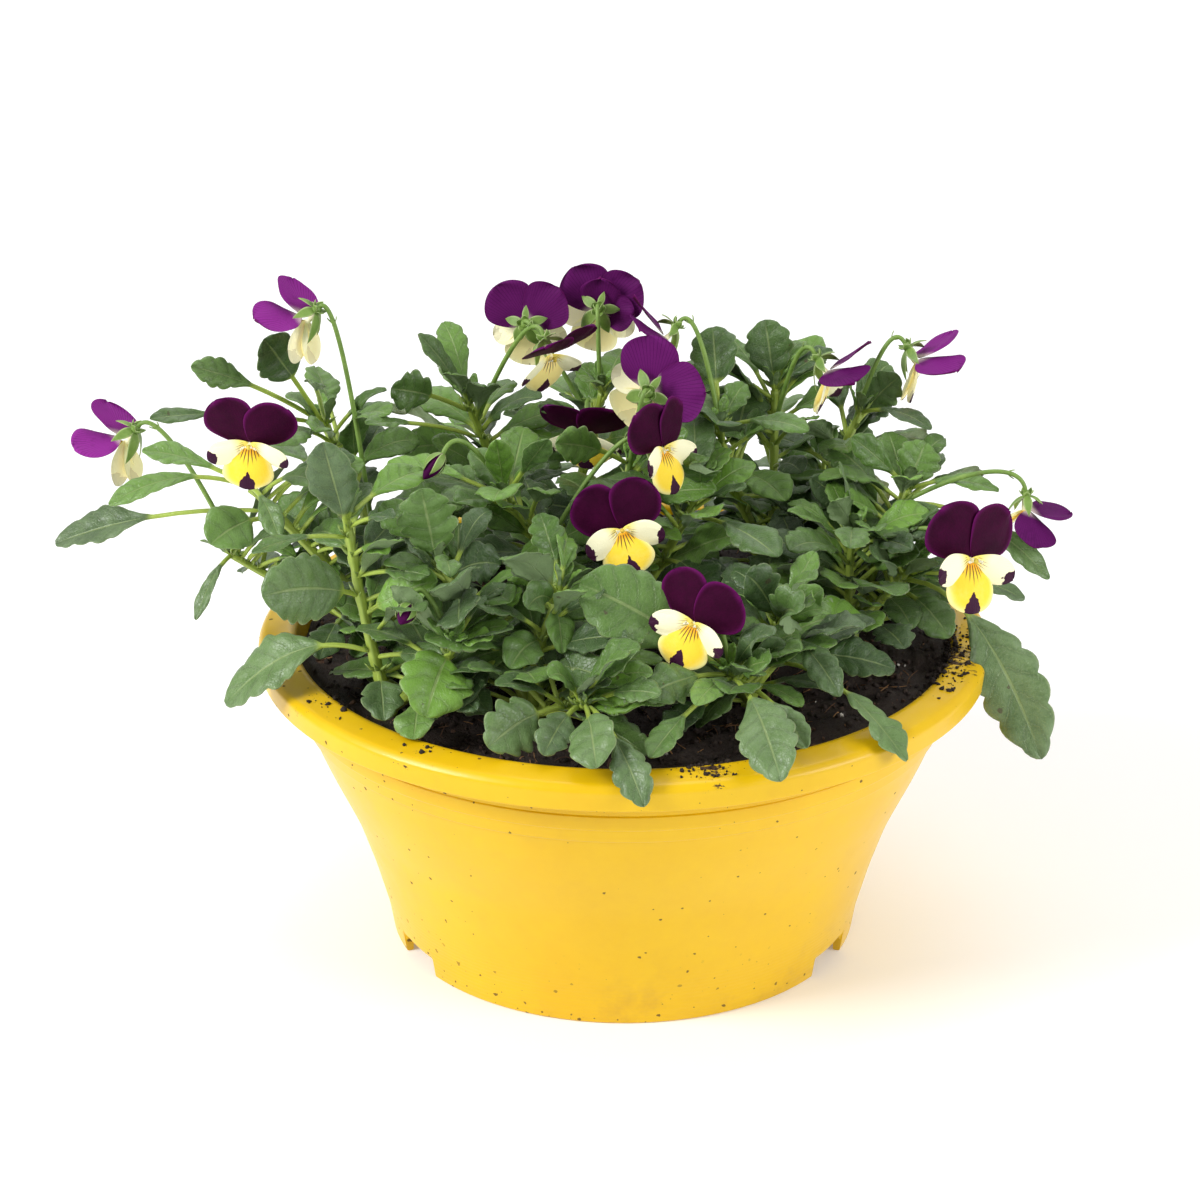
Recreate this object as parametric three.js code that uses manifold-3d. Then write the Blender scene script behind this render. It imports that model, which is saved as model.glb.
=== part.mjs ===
// A round plastic bowl planter, filled with potting soil and planted with eight violas in bloom.
// Millimetres, +Z up. The origin is the centre of the bowl's base, on the surface that it stands on.
// -Y is the front, +X is to the right. Every plant is one solid of stems and leaves, as it grew;
// flowers, buds, soil and bowl are solids of their own, with a fitting gap wherever two touch.
import * as THREE from "three";
import { mergeVertices } from "three/addons/utils/BufferGeometryUtils.js";
import Module from "manifold-3d";

const wasm = await Module();
wasm.setup();

// Driving dimensions.
const gap = 0.35; // kept between two solids that touch
const rimRadius = 135.5;
const rimTop = 120;
const baseRadius = 88;
const wall = 2;
const plateUnder = 8; // underside of the base plate, above the surface
const plateTop = 10.5;
const centreFootRadius = 14;
const drainNotch = { width: 23, height: 7, corner: 3, count: 3, firstAzimuth: 90 };
const drainHole = { radius: 4, ringRadius: 55, count: 6 };
const turns = 32; // facets round the bowl and the soil
const crownDepth = 9; // how far the stems start below the surface of the soil
const shootRadii = [2.3, 1.3]; // at its foot and at its top
const petalThickness = 0.9; // of the solid that stands for a petal at its middle
const calyxDepth = 7.6; // from the throat back to the middle of the calyx
const closingHood = 42; // degrees that a closing flower's upper petals tip forward
const closingRoof = 20; // degrees that their outer halves slope forward, from half closed on
const closingDrop = 20; // degrees that its side petals drop
const closingLean = 4.5; // millimetres that its side petals lean forward
const up = new THREE.Vector3(0, 0, 1);

const colours = {
  bowl: 0xf2c33a,
  soil: 0x33241c,
  foliage: 0x5f8a4e,
  stalk: 0x8bab57,
  purple: 0x4b0d46,
  cream: 0xf0e3a4,
};

// Solids.

// A closed geometry as a solid, turned right side out if its faces point inwards.
function solidOf(geometry) {
  const bare = geometry.clone();
  bare.deleteAttribute("normal");
  bare.deleteAttribute("uv");
  const merged = mergeVertices(bare, 1e-4);
  const corners = merged.getAttribute("position");
  const faces = merged.getIndex().array;
  const kept = [];
  let sixVolumes = 0;
  const [a, b, c] = [new THREE.Vector3(), new THREE.Vector3(), new THREE.Vector3()];
  for (let i = 0; i < faces.length; i += 3) {
    const [p, q, r] = [faces[i], faces[i + 1], faces[i + 2]];
    if (p === q || q === r || r === p) continue;
    kept.push([p, q, r]);
    a.fromBufferAttribute(corners, p);
    b.fromBufferAttribute(corners, q);
    c.fromBufferAttribute(corners, r);
    sixVolumes += a.dot(b.cross(c));
  }
  const facingOut = sixVolumes < 0 ? kept.map(([p, q, r]) => [q, p, r]) : kept;
  return new wasm.Manifold(
    new wasm.Mesh({
      numProp: 3,
      vertProperties: new Float32Array(corners.array),
      triVerts: new Uint32Array(facingOut.flat()),
    }),
  );
}

function geometryOf(solid) {
  const mesh = solid.getMesh();
  const geometry = new THREE.BufferGeometry();
  geometry.setAttribute("position", new THREE.BufferAttribute(mesh.vertProperties, mesh.numProp));
  geometry.setIndex(new THREE.BufferAttribute(mesh.triVerts, 1));
  geometry.computeVertexNormals();
  return geometry;
}

function largestBody(solid) {
  const bodies = solid.decompose();
  return bodies.reduce((best, body) => (body.volume() > best.volume() ? body : best));
}

const joined = (solids) => solids.reduce((sum, solid) => sum.add(solid));

// A sphere's net drawn out along a path: pointAt(along, around) gives each corner's place,
// with along 0 and 1 at the two closed ends and around a share of a turn.
function drawnOut(sides, rings, pointAt) {
  const net = new THREE.SphereGeometry(1, sides, rings);
  const corners = net.getAttribute("position");
  const uv = net.getAttribute("uv");
  for (let i = 0; i < corners.count; i++) {
    const ring = Math.round((1 - uv.getY(i)) * rings);
    const atPole = ring === 0 || ring === rings;
    const around = atPole ? 0 : (Math.round(uv.getX(i) * sides) % sides) / sides;
    const point = pointAt(ring / rings, around);
    corners.setXYZ(i, point.x, point.y, point.z);
  }
  return solidOf(net);
}

// The axes across a path at t: side lies in the sheet, normal stands on the sheet's upper face.
function axesAt(path, t, facing) {
  const tangent = path.getTangent(Math.min(Math.max(t, 0.01), 0.99));
  const side = new THREE.Vector3().crossVectors(facing, tangent).normalize();
  const normal = new THREE.Vector3().crossVectors(tangent, side);
  return { side, normal };
}

// A round stem along a path, thinning from one radius to another, with pointed ends.
function stem(path, fromRadius, toRadius, sides, rings, extra = 0) {
  const lateral = new THREE.Vector3(0.3, 1, 0.1).normalize();
  return drawnOut(sides, rings, (along, around) => {
    const t = THREE.MathUtils.clamp((along * rings - 0.5) / (rings - 1), 0, 1);
    const place = path.getPoint(t);
    if (along === 0 || along === 1) {
      const end = path.getTangent(t).multiplyScalar(along === 0 ? -0.6 - extra : 0.6 + extra);
      return place.add(end);
    }
    const { side, normal } = axesAt(path, t, lateral);
    const radius = THREE.MathUtils.lerp(fromRadius, toRadius, t) + extra;
    const angle = around * 2 * Math.PI;
    place.addScaledVector(side, radius * Math.cos(angle));
    return place.addScaledVector(normal, radius * Math.sin(angle));
  });
}

// A thin sheet along a path, four-sided in section. Each station is [place along the path,
// half width, half thickness, dip of the middle below the edges]. Its points go through bend.
function sheet(path, facing, stations, bend = (point) => point) {
  const last = stations.length + 1;
  return drawnOut(4, last, (along, around) => {
    const index = Math.round(along * last);
    if (index === 0) return bend(path.getPoint(0));
    if (index === last) return bend(path.getPoint(1));
    const [t, halfWidth, halfThickness, dip] = stations[index - 1];
    const { side, normal } = axesAt(path, t, facing);
    const across = [1, 0, -1, 0][Math.round(around * 4)];
    const lift = [0, 1, 0, -1][Math.round(around * 4)];
    const place = path.getPoint(t).addScaledVector(side, across * halfWidth);
    return bend(place.addScaledVector(normal, lift * halfThickness - (across === 0 ? dip : 0)));
  });
}

// Bowl and soil.

// Inner face of the bowl, from the plate up to the rim, as [radius, height].
const innerWall = [
  [84, plateTop],
  [88.5, 15],
  [93.4, 32],
  [99.4, 50],
  [112.8, 80],
  [117.4, 95],
  [121.5, 119.2],
];

function innerRadius(height) {
  const above = innerWall.findIndex(([, z]) => z >= height);
  if (above <= 0) return innerWall[above === 0 ? 0 : innerWall.length - 1][0];
  const [[r0, z0], [r1, z1]] = [innerWall[above - 1], innerWall[above]];
  return THREE.MathUtils.mapLinear(height, z0, z1, r0, r1);
}

const lathe = (profile) =>
  new THREE.LatheGeometry(
    profile.map(([radius, height]) => new THREE.Vector2(radius, height)),
    turns,
  ).rotateX(Math.PI / 2);

function bowl() {
  const foot = [
    [0, 0],
    [centreFootRadius, 0],
    [centreFootRadius, plateUnder],
    [baseRadius - 3, plateUnder],
    [baseRadius - 3, 0],
    [baseRadius, 0],
  ];
  const outerWall = [
    [90, 12],
    [95.5, 32],
    [101.5, 50],
    [115, 80],
    [118.5, 89.4],
    [119.7, 89.4], // two fine steps under the rim
    [121, 95],
    [121.8, 95],
    [123.5, 108],
  ];
  const rim = [
    [124, 115.5],
    [rimRadius - wall, 114.5],
    [rimRadius - wall, 108.9],
    [rimRadius - 0.5, 108.9],
    [rimRadius, 116.5],
    [rimRadius - 2, 118.3],
    [123.5, rimTop],
  ];
  const inside = [...innerWall].reverse();
  const shell = solidOf(lathe([...foot, ...outerWall, ...rim, ...inside, [0, plateTop]]));
  return shell.subtract(joined([...notches(), ...holes()]));
}

// Arched openings in the foot's skirt, which let water run out from under the plate.
function notches() {
  const { width, height, corner, count, firstAzimuth } = drainNotch;
  const outline = new THREE.Shape();
  outline.moveTo(-width / 2, -1);
  outline.lineTo(width / 2, -1);
  outline.lineTo(width / 2, height - corner);
  outline.quadraticCurveTo(width / 2, height, width / 2 - corner, height);
  outline.lineTo(-width / 2 + corner, height);
  outline.quadraticCurveTo(-width / 2, height, -width / 2, height - corner);
  const cutter = { depth: 12, bevelEnabled: false, curveSegments: 3 };
  return Array.from({ length: count }, (_, i) => {
    const azimuth = THREE.MathUtils.degToRad(firstAzimuth + (360 * i) / count);
    const cut = new THREE.ExtrudeGeometry(outline, cutter).translate(0, 0, baseRadius - 7);
    return solidOf(cut.rotateX(Math.PI / 2).rotateZ(azimuth + Math.PI / 2));
  });
}

function holes() {
  const { radius, ringRadius, count } = drainHole;
  return Array.from({ length: count }, (_, i) => {
    const turn = (2 * Math.PI * (i + 0.5)) / count;
    const drill = new THREE.CylinderGeometry(radius, radius, 8, 8).rotateX(Math.PI / 2);
    const [x, y] = [ringRadius * Math.cos(turn), ringRadius * Math.sin(turn)];
    return solidOf(drill.translate(x, y, (plateUnder + plateTop) / 2));
  });
}

// The soil's surface: level with the rim on the right, a little lower at the front left.
function soilHeight(x, y) {
  const slope = 115 + 0.022 * x + 0.008 * y;
  return slope + 0.9 * Math.sin(x / 17 + 1) * Math.cos(y / 21) + 0.5 * Math.sin(y / 9 + x / 13);
}

function soil(rootSpace) {
  const bed = plateTop + gap;
  const side = innerWall.filter(([, z]) => z > bed && z < 110);
  const top = [117, 96, 62, 30, 0].map((radius) => [radius, 115]);
  const profile = [
    [0, bed],
    [innerRadius(bed) - gap, bed],
    ...side.map(([radius, z]) => [radius - gap, z]),
    ...top,
  ];
  const geometry = lathe(profile);
  const corners = geometry.getAttribute("position");
  for (let i = 0; i < corners.count; i++) {
    if (corners.getZ(i) < 112) continue;
    const [x, y] = [corners.getX(i), corners.getY(i)];
    const height = soilHeight(x, y);
    const onEdge = Math.hypot(x, y) > 110;
    const scale = onEdge ? (innerRadius(height) - gap) / 117 : 1;
    corners.setXYZ(i, x * scale, y * scale, height);
  }
  return solidOf(geometry).subtract(rootSpace);
}

// Plants. Each shoot runs from the plant's crown through a bend to its top, as [x, y, z].
// A leaf is [share of the shoot where it springs, tip x, y, z, blade length, blade width,
// arch, facing], where arch is the rise of its middle over the straight line to the tip.
const facings = {
  up: new THREE.Vector3(0, -0.3, 1),
  front: new THREE.Vector3(0, -1, 0.45),
  left: new THREE.Vector3(-0.7, -0.5, 0.6),
  right: new THREE.Vector3(0.7, -0.5, 0.6),
  back: new THREE.Vector3(0, 0.5, 1),
};

const plants = {
  plant_left: {
    crown: [-78, -10],
    shoots: [
      {
        bend: [-108, -18, 150],
        top: [-134, -25, 184],
        leaves: [
          [0.85, -207, -15, 158, 38, 19, 10, "up"],
          [1, -183, -40, 183, 34, 11, 14, "up"],
          [1, -173, -20, 196, 28, 11, 6, "up"],
          [0.8, -147, -45, 170, 19, 20, 8, "front"],
          [1, -122, -50, 174, 20, 9, 8, "front"],
        ],
      },
      {
        bend: [-92, 22, 145],
        top: [-112, 40, 184],
        leaves: [
          [1, -173, 5, 199, 25, 9, 6, "up"],
          [1, -159, 20, 214, 27, 12, 6, "front"],
          [0.95, -132, 22, 224, 22, 20, 3, "front"],
          [1, -111, -18, 221, 20, 8, 6, "up"],
          [0.7, -100, 18, 196, 22, 14, 6, "up"],
          [0.6, -140, 62, 170, 30, 18, 10, "back"],
          [0.8, -118, 76, 194, 26, 15, 8, "back"],
        ],
      },
      {
        bend: [-118, -4, 132],
        top: [-144, -6, 150],
        leaves: [
          [1, -156, -25, 132, 22, 7, 8, "up"],
          [0.6, -143, 26, 130, 28, 16, 14, "up"],
          [0.3, -110, -42, 124, 20, 14, 10, "up"],
        ],
      },
    ],
  },
  plant_front_left: {
    crown: [-84, -62],
    shoots: [
      {
        bend: [-93, -62, 150],
        top: [-98, -50, 182],
        leaves: [
          [0.9, -105, -56, 213, 30, 19, 0, "front"],
          [0.6, -126, -78, 164, 33, 26, 6, "front"],
          [0.7, -68, -74, 170, 20, 11, 4, "up"],
          [0.95, -80, -70, 190, 15, 8, 4, "up"],
          [0.9, -130, -68, 176, 22, 9, 6, "up"],
          [0.3, -143, -55, 112, 42, 24, 22, "left"],
          [0.2, -84, -90, 122, 18, 16, 8, "front"],
        ],
      },
      {
        bend: [-66, -70, 130],
        top: [-60, -82, 146],
        leaves: [
          [0.9, -69, -100, 128, 25, 27, 6, "front"],
          [1, -46, -90, 153, 14, 11, 4, "up"],
          [0.4, -73, -103, 121, 18, 16, 5, "up"],
        ],
      },
    ],
  },
  plant_front: {
    crown: [-32, -72],
    shoots: [
      {
        bend: [-48, -64, 145],
        top: [-66, -60, 168],
        leaves: [
          [1, -71, -62, 198, 30, 22, 2, "front"],
          [0.9, -86, -46, 186, 18, 13, 4, "front"],
          [0.9, -44, -54, 166, 20, 16, 6, "front"],
        ],
      },
      {
        bend: [-34, -78, 142],
        top: [-22, -64, 160],
        leaves: [
          [1, -30, -50, 184, 20, 14, 3, "up"],
          [0.9, -34, -84, 162, 18, 13, 8, "front"],
          [0.9, -22, -82, 144, 23, 11, 6, "front"],
          [0.6, -40, -90, 142, 19, 15, 6, "front"],
        ],
      },
      {
        bend: [-24, -90, 126],
        top: [-14, -98, 132],
        leaves: [
          [0.7, -47, -116, 124, 23, 22, 8, "front"],
          [0.9, -28, -122, 124, 20, 14, 6, "front"],
          [1, -10, -134, 125, 24, 19, 8, "front"],
          [1, 6, -141, 114, 26, 14, 14, "front"],
          [1, 12, -112, 142, 20, 12, 6, "up"],
        ],
      },
    ],
  },
  plant_front_right: {
    crown: [44, -64],
    shoots: [
      {
        bend: [42, -76, 130],
        top: [36, -84, 137],
        leaves: [
          [1, -16, -76, 168, 44, 29, 6, "front"],
          [0.8, 8, -124, 124, 22, 12, 8, "up"],
          [0.9, 52, -138, 122, 38, 21, 14, "front"],
          [0.8, 62, -116, 124, 22, 11, 8, "front"],
        ],
      },
      {
        bend: [52, -62, 132],
        top: [54, -58, 146],
        leaves: [
          [1, 59, -84, 160, 26, 18, 6, "front"],
          [0.9, 74, -98, 135, 30, 12, 10, "up"],
          [0.5, 97, -104, 113, 30, 18, 20, "right"],
          [1, 42, -68, 168, 24, 17, 6, "front"],
          [0.5, 96, -60, 128, 26, 18, 8, "up"],
        ],
      },
    ],
  },
  plant_centre: {
    crown: [-4, -6],
    shoots: [
      {
        bend: [-26, -8, 150],
        top: [-43, -15, 176],
        leaves: [
          [1, -46, -24, 202, 24, 11, 2, "front"],
          [1, -27, -34, 206, 24, 10, 2, "front"],
          [0.9, -60, -40, 184, 22, 12, 5, "up"],
          [0.7, -30, -46, 166, 22, 16, 6, "front"],
          [0.5, -62, -18, 152, 28, 17, 8, "up"],
        ],
      },
      {
        bend: [-2, 0, 150],
        top: [2, 8, 180],
        leaves: [
          [1, -25, -10, 195, 22, 15, 5, "front"],
          [0.9, 9, 30, 210, 18, 8, 4, "up"],
          [0.6, -24, 26, 168, 26, 16, 8, "up"],
        ],
      },
      {
        bend: [16, -4, 148],
        top: [28, 0, 174],
        leaves: [
          [1, 27, -16, 190, 22, 16, 4, "front"],
          [1, 38, 14, 184, 20, 12, 4, "up"],
          [0.8, 54, -52, 168, 36, 17, 8, "up"],
          [0.5, 32, -38, 148, 26, 18, 8, "up"],
        ],
      },
    ],
  },
  plant_right: {
    crown: [84, -6],
    shoots: [
      {
        bend: [92, -2, 126],
        top: [104, 0, 140],
        leaves: [
          [0.9, 152, -46, 86, 48, 23, 40, "right"],
          [0.8, 118, -32, 128, 22, 15, 8, "up"],
          [1, 148, -6, 132, 26, 13, 8, "right"],
          [0.9, 142, 30, 126, 28, 15, 12, "right"],
        ],
      },
      {
        bend: [94, 14, 140],
        top: [106, 24, 164],
        leaves: [
          [1, 140, 22, 164, 26, 11, 8, "up"],
          [0.9, 158, 4, 136, 30, 12, 18, "up"],
          [1, 84, 18, 187, 24, 12, 3, "front"],
          [1, 113, 32, 180, 20, 18, 2, "front"],
          [0.9, 136, 48, 160, 26, 15, 10, "back"],
        ],
      },
      {
        bend: [82, -8, 138],
        top: [84, -4, 157],
        leaves: [
          [1, 76, -18, 176, 22, 11, 4, "up"],
          [1, 80, -44, 168, 28, 14, 8, "up"],
          [0.9, 104, -26, 160, 20, 12, 6, "up"],
        ],
      },
    ],
  },
  plant_back: {
    crown: [-26, 66],
    shoots: [
      {
        bend: [-46, 56, 150],
        top: [-58, 46, 190],
        leaves: [
          [1, -77, 48, 217, 30, 12, 4, "up"],
          [1, -64, 28, 208, 20, 11, 4, "up"],
          [0.95, -86, 24, 204, 20, 17, 4, "front"],
          [0.8, -94, 2, 198, 24, 10, 6, "up"],
          [0.6, -92, 78, 176, 30, 18, 12, "back"],
          [0.7, -70, 96, 186, 28, 17, 10, "back"],
        ],
      },
      {
        bend: [-16, 66, 150],
        top: [-8, 60, 190],
        leaves: [
          [0.8, -34, 104, 178, 30, 18, 12, "back"],
          [0.6, 2, 118, 160, 30, 19, 14, "back"],
          [1, -14, 42, 200, 16, 10, 4, "up"],
        ],
      },
      {
        bend: [-40, 92, 130],
        top: [-48, 108, 142],
        leaves: [
          [1, -52, 140, 126, 32, 19, 14, "back"],
          [0.8, -86, 116, 128, 28, 17, 14, "back"],
          [0.6, -14, 128, 132, 26, 17, 12, "back"],
        ],
      },
    ],
  },
  plant_back_right: {
    crown: [58, 56],
    shoots: [
      {
        bend: [58, 62, 150],
        top: [58, 68, 188],
        leaves: [
          [1, 54, 74, 214, 22, 19, 2, "front"],
          [1, 80, 70, 203, 22, 11, 4, "up"],
          [0.9, 42, 92, 200, 22, 13, 6, "back"],
          [0.7, 66, 112, 168, 30, 18, 12, "back"],
        ],
      },
      {
        bend: [76, 58, 148],
        top: [90, 58, 182],
        leaves: [
          [1, 115, 34, 184, 26, 11, 8, "up"],
          [0.9, 105, 60, 196, 20, 15, 4, "front"],
          [0.7, 118, 82, 162, 28, 17, 10, "back"],
        ],
      },
      {
        bend: [44, 46, 148],
        top: [36, 40, 182],
        leaves: [
          [1, 46, 52, 196, 16, 11, 4, "up"],
          [1, 68, 16, 190, 28, 13, 8, "up"],
          [0.7, 60, 12, 164, 26, 17, 8, "up"],
        ],
      },
      {
        bend: [74, 84, 128],
        top: [84, 98, 140],
        leaves: [
          [1, 104, 118, 118, 30, 18, 16, "back"],
          [0.8, 46, 130, 130, 30, 18, 14, "back"],
        ],
      },
    ],
  },
};

// Flowers: head is the throat, where the petals meet. Azimuth 0 faces the front and 90 the
// right; elevation is above level; roll turns the face clockwise. The stalk springs from the
// named plant's shoot at the given share of its length. Size is 1 where none is given, and
// closing is how far a flower has folded up again.
const flowers = [
  {
    head: [-117, 16, 233], azimuth: -110, elevation: -38, roll: 0, closing: 0.8,
    from: ["plant_left", 1, 0.5],
  },
  {
    head: [-182, -5, 194], azimuth: -106, elevation: -42, roll: 0, closing: 0.9,
    from: ["plant_left", 2, 0.95],
  },
  {
    head: [-132, -44, 207], azimuth: -5, elevation: -26, roll: 5,
    from: ["plant_left", 0, 1],
  },
  {
    head: [-36, 76, 211], azimuth: 170, elevation: -20, roll: 0,
    from: ["plant_back", 1, 0.8],
  },
  {
    head: [-9, 78, 216], azimuth: 176, elevation: -22, roll: -12,
    from: ["plant_back", 1, 0.95],
  },
  {
    head: [-26, 24, 216], azimuth: 40, elevation: -50, roll: 0, closing: 0.3,
    from: ["plant_back", 0, 0.9],
  },
  {
    head: [14, 54, 213], azimuth: -74, elevation: -36, roll: 0, closing: 0.5,
    from: ["plant_back_right", 2, 0.9],
  },
  {
    head: [10, 18, 205], azimuth: 170, elevation: -14, roll: -42, size: 1.12,
    from: ["plant_centre", 1, 0.9],
  },
  {
    head: [15, -18, 196], azimuth: 52, elevation: -8, roll: 4,
    from: ["plant_centre", 0, 0.6],
  },
  {
    head: [-1, -44, 175], azimuth: 8, elevation: 2, roll: -12,
    from: ["plant_centre", 2, 0.5],
  },
  {
    head: [23, -88, 158], azimuth: -28, elevation: -6, roll: 15,
    from: ["plant_front_right", 0, 0.9],
  },
  {
    head: [126, -28, 157], azimuth: 22, elevation: -8, roll: 8, size: 1.18,
    from: ["plant_right", 2, 0.9],
  },
  {
    head: [150, 16, 158], azimuth: 60, elevation: -84, roll: 0, size: 0.9, closing: 1,
    from: ["plant_right", 1, 0.9],
  },
  {
    head: [78, 46, 202], azimuth: 66, elevation: -42, roll: 0, closing: 0.8,
    from: ["plant_back_right", 0, 0.8],
  },
  {
    head: [112, 56, 203], azimuth: 82, elevation: -48, roll: 0, closing: 0.8,
    from: ["plant_back_right", 1, 0.9],
  },
  {
    head: [-15, 34, 181], azimuth: -10, elevation: -62, roll: 0,
    from: ["plant_back", 1, 0.7],
  },
];

const buds = [
  {
    head: [-68, -30, 194], azimuth: -60, elevation: -45, length: 12,
    from: ["plant_centre", 0, 0.9],
  },
  {
    head: [-76, -84, 160], azimuth: -30, elevation: -35, length: 9,
    from: ["plant_front_left", 1, 1],
  },
];

const vector = ([x, y, z]) => new THREE.Vector3(x, y, z);

// The crown is a short thick stem, half in the soil, that the shoots spring from.
function crownPath({ crown: [x, y] }) {
  const surface = soilHeight(x, y);
  const [low, high] = [surface - crownDepth, surface + 3];
  return new THREE.LineCurve3(new THREE.Vector3(x, y, low), new THREE.Vector3(x, y, high));
}

function shootPath(plant, shoot) {
  const start = crownPath(plant).getPoint(0.9);
  return new THREE.QuadraticBezierCurve3(start, vector(shoot.bend), vector(shoot.top));
}

const crown = (plant, extra = 0) => stem(crownPath(plant), 2.8, 3.2, 6, 3, extra);

const shootStem = (plant, shoot, extra = 0) => stem(shootPath(plant, shoot), ...shootRadii, 5, 6, extra);

const allStems = (plant, extra) =>
  joined([crown(plant, extra), ...plant.shoots.map((shoot) => shootStem(plant, shoot, extra))]);

// The leaf at a scale of its full size about its foot, with margin added all round.
function leafSolid(path, leaf, scale, margin) {
  const [share, x, y, z, length, width, arch, facingName] = leaf;
  const foot = path.getPoint(share);
  const tip = new THREE.Vector3(x, y, z).sub(foot).multiplyScalar(scale).add(foot);
  const middle = foot.clone().lerp(tip, 0.5).addScaledVector(up, arch * scale);
  const midrib = new THREE.QuadraticBezierCurve3(foot, middle, tip);
  const petiole = Math.max(0.12, 1 - (length * scale) / midrib.getLength());
  const onBlade = (share) => petiole + (1 - petiole) * share;
  const half = (width * scale) / 2;
  return sheet(midrib, facings[facingName], [
    [petiole * 0.5, 0.8 + margin, 0.7 + margin, 0],
    [petiole, 0.9 + margin, 0.7 + margin, 0],
    [onBlade(0.25), half * 0.68 + margin, 0.6 + margin, half * 0.12],
    [onBlade(0.6), half + margin, 0.55 + margin, half * 0.16],
    [onBlade(0.87), half * 0.68 + margin, 0.5 + margin, half * 0.1],
  ]);
}

// Flower parts, in the flower's own axes: x across, y up and z out of its face.
function petal({ angle, length, width, from, middle, tip, twist = 0 }, bend) {
  const turn = THREE.MathUtils.degToRad(angle);
  const outward = new THREE.Vector3(Math.cos(turn), Math.sin(turn), 0);
  const at = (reach, height) => outward.clone().multiplyScalar(reach).setZ(height);
  const path = new THREE.QuadraticBezierCurve3(at(0.2, from), at(length * 0.45, middle), at(length, tip));
  const facing = new THREE.Vector3(Math.sin(turn) * twist, -Math.cos(turn) * twist, 1);
  const half = width / 2;
  const stations = [
    [0.2, half * 0.5, petalThickness / 2, 0],
    [0.55, half, petalThickness / 2, 0],
    [0.88, half * 0.75, petalThickness * 0.45, 0],
  ];
  return sheet(path, facing, stations, bend);
}

// Two broad petals, bent a little back. In a closing flower their outer halves slope forward
// from the middle line, and then both tip forward over its face.
function upperPetals(closing) {
  const roof = THREE.MathUtils.degToRad(closingRoof * Math.min(2 * closing, 1));
  const hood = THREE.MathUtils.degToRad(closingHood * closing);
  const across = new THREE.Vector3(1, 0, 0);
  const softness = 3; // half width of the rounded ridge on the middle line
  const fold = (point) => {
    const slope = Math.sin(roof) * (Math.hypot(point.x, softness) - softness);
    point.set(point.x * Math.cos(roof), point.y, point.z + slope);
    return point.applyAxisAngle(across, hood);
  };
  const sizes = { length: 19, width: 20 };
  const right = petal({ ...sizes, angle: 47, from: -1.7, middle: -3.1, tip: -6.3 }, fold);
  const left = petal({ ...sizes, angle: 133, from: -1.7, middle: -3.5, tip: -6.8 }, fold);
  return right.add(left);
}

// Two side petals, which drop and lean forward as the flower closes, the broad lip that leans
// forward under them, and the short spur behind the lip.
function lowerPetals(closing) {
  const [drop, lean] = [closingDrop * closing, closingLean * closing];
  const sizes = { length: 15, width: 10, from: -1.6, middle: 2.4 + 0.4 * lean, tip: 3.8 + lean };
  const sides = [-18 - drop, 198 + drop].map((angle) => petal({ ...sizes, angle }));
  const lip = petal({ angle: 270, length: 15, width: 18.5, from: -1.6, middle: 5, tip: 7 });
  const spurPath = new THREE.QuadraticBezierCurve3(
    new THREE.Vector3(0, -1, -0.4),
    new THREE.Vector3(0, -1.3, -3),
    new THREE.Vector3(0, -0.7, -4.9),
  );
  return joined([...sides, lip, stem(spurPath, 0.95, 0.9, 4, 3)]);
}

// Each sepal as [direction, reach forward, reach outward, half width]. They hang forward round
// the petals' backs.
const sepals = [
  [20, 3.4, 7.5, 1.5],
  [90, -0.8, 8, 0.9],
  [160, 3.4, 7.5, 1.5],
  [236, 7.2, 8.6, 2],
  [304, 7.2, 8.6, 2],
];

function calyx() {
  const root = new THREE.Vector3(0, 0.4, -calyxDepth);
  const receptacle = solidOf(new THREE.SphereGeometry(1.9, 5, 4).translate(root.x, root.y, root.z));
  const lobes = sepals.map(([angle, forward, reach, halfWidth]) => {
    const turn = THREE.MathUtils.degToRad(angle);
    const outward = new THREE.Vector3(Math.cos(turn), Math.sin(turn), 0);
    const at = (share, height) =>
      root.clone().addScaledVector(outward, reach * share).add(new THREE.Vector3(0, 0, height));
    const path = new THREE.QuadraticBezierCurve3(root, at(0.6, forward * 0.25 - 0.4), at(1, forward));
    const facing = outward.clone().negate().setZ(1.2);
    return sheet(path, facing, [[0.5, halfWidth, 0.4, 0]]);
  });
  return joined([receptacle, ...lobes]);
}

// From the flower's own axes to the part's.
function headMatrix({ head, azimuth, elevation, roll = 0, size = 1 }) {
  const [turn, rise] = [azimuth, elevation].map(THREE.MathUtils.degToRad);
  const out = new THREE.Vector3(
    Math.sin(turn) * Math.cos(rise),
    -Math.cos(turn) * Math.cos(rise),
    Math.sin(rise),
  );
  const across = new THREE.Vector3().crossVectors(up, out).normalize();
  const upward = new THREE.Vector3().crossVectors(out, across);
  const basis = new THREE.Matrix4().makeBasis(across, upward, out);
  basis.multiply(new THREE.Matrix4().makeRotationZ(-THREE.MathUtils.degToRad(roll)));
  basis.scale(new THREE.Vector3(size, size, size));
  return basis.setPosition(vector(head));
}

const moved = (solid, matrix) => solid.transform([...matrix.elements]);

function sourceOf({ from: [plantName, shootIndex, share] }) {
  const plant = plants[plantName];
  return shootPath(plant, plant.shoots[shootIndex]).getPoint(share);
}

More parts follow.
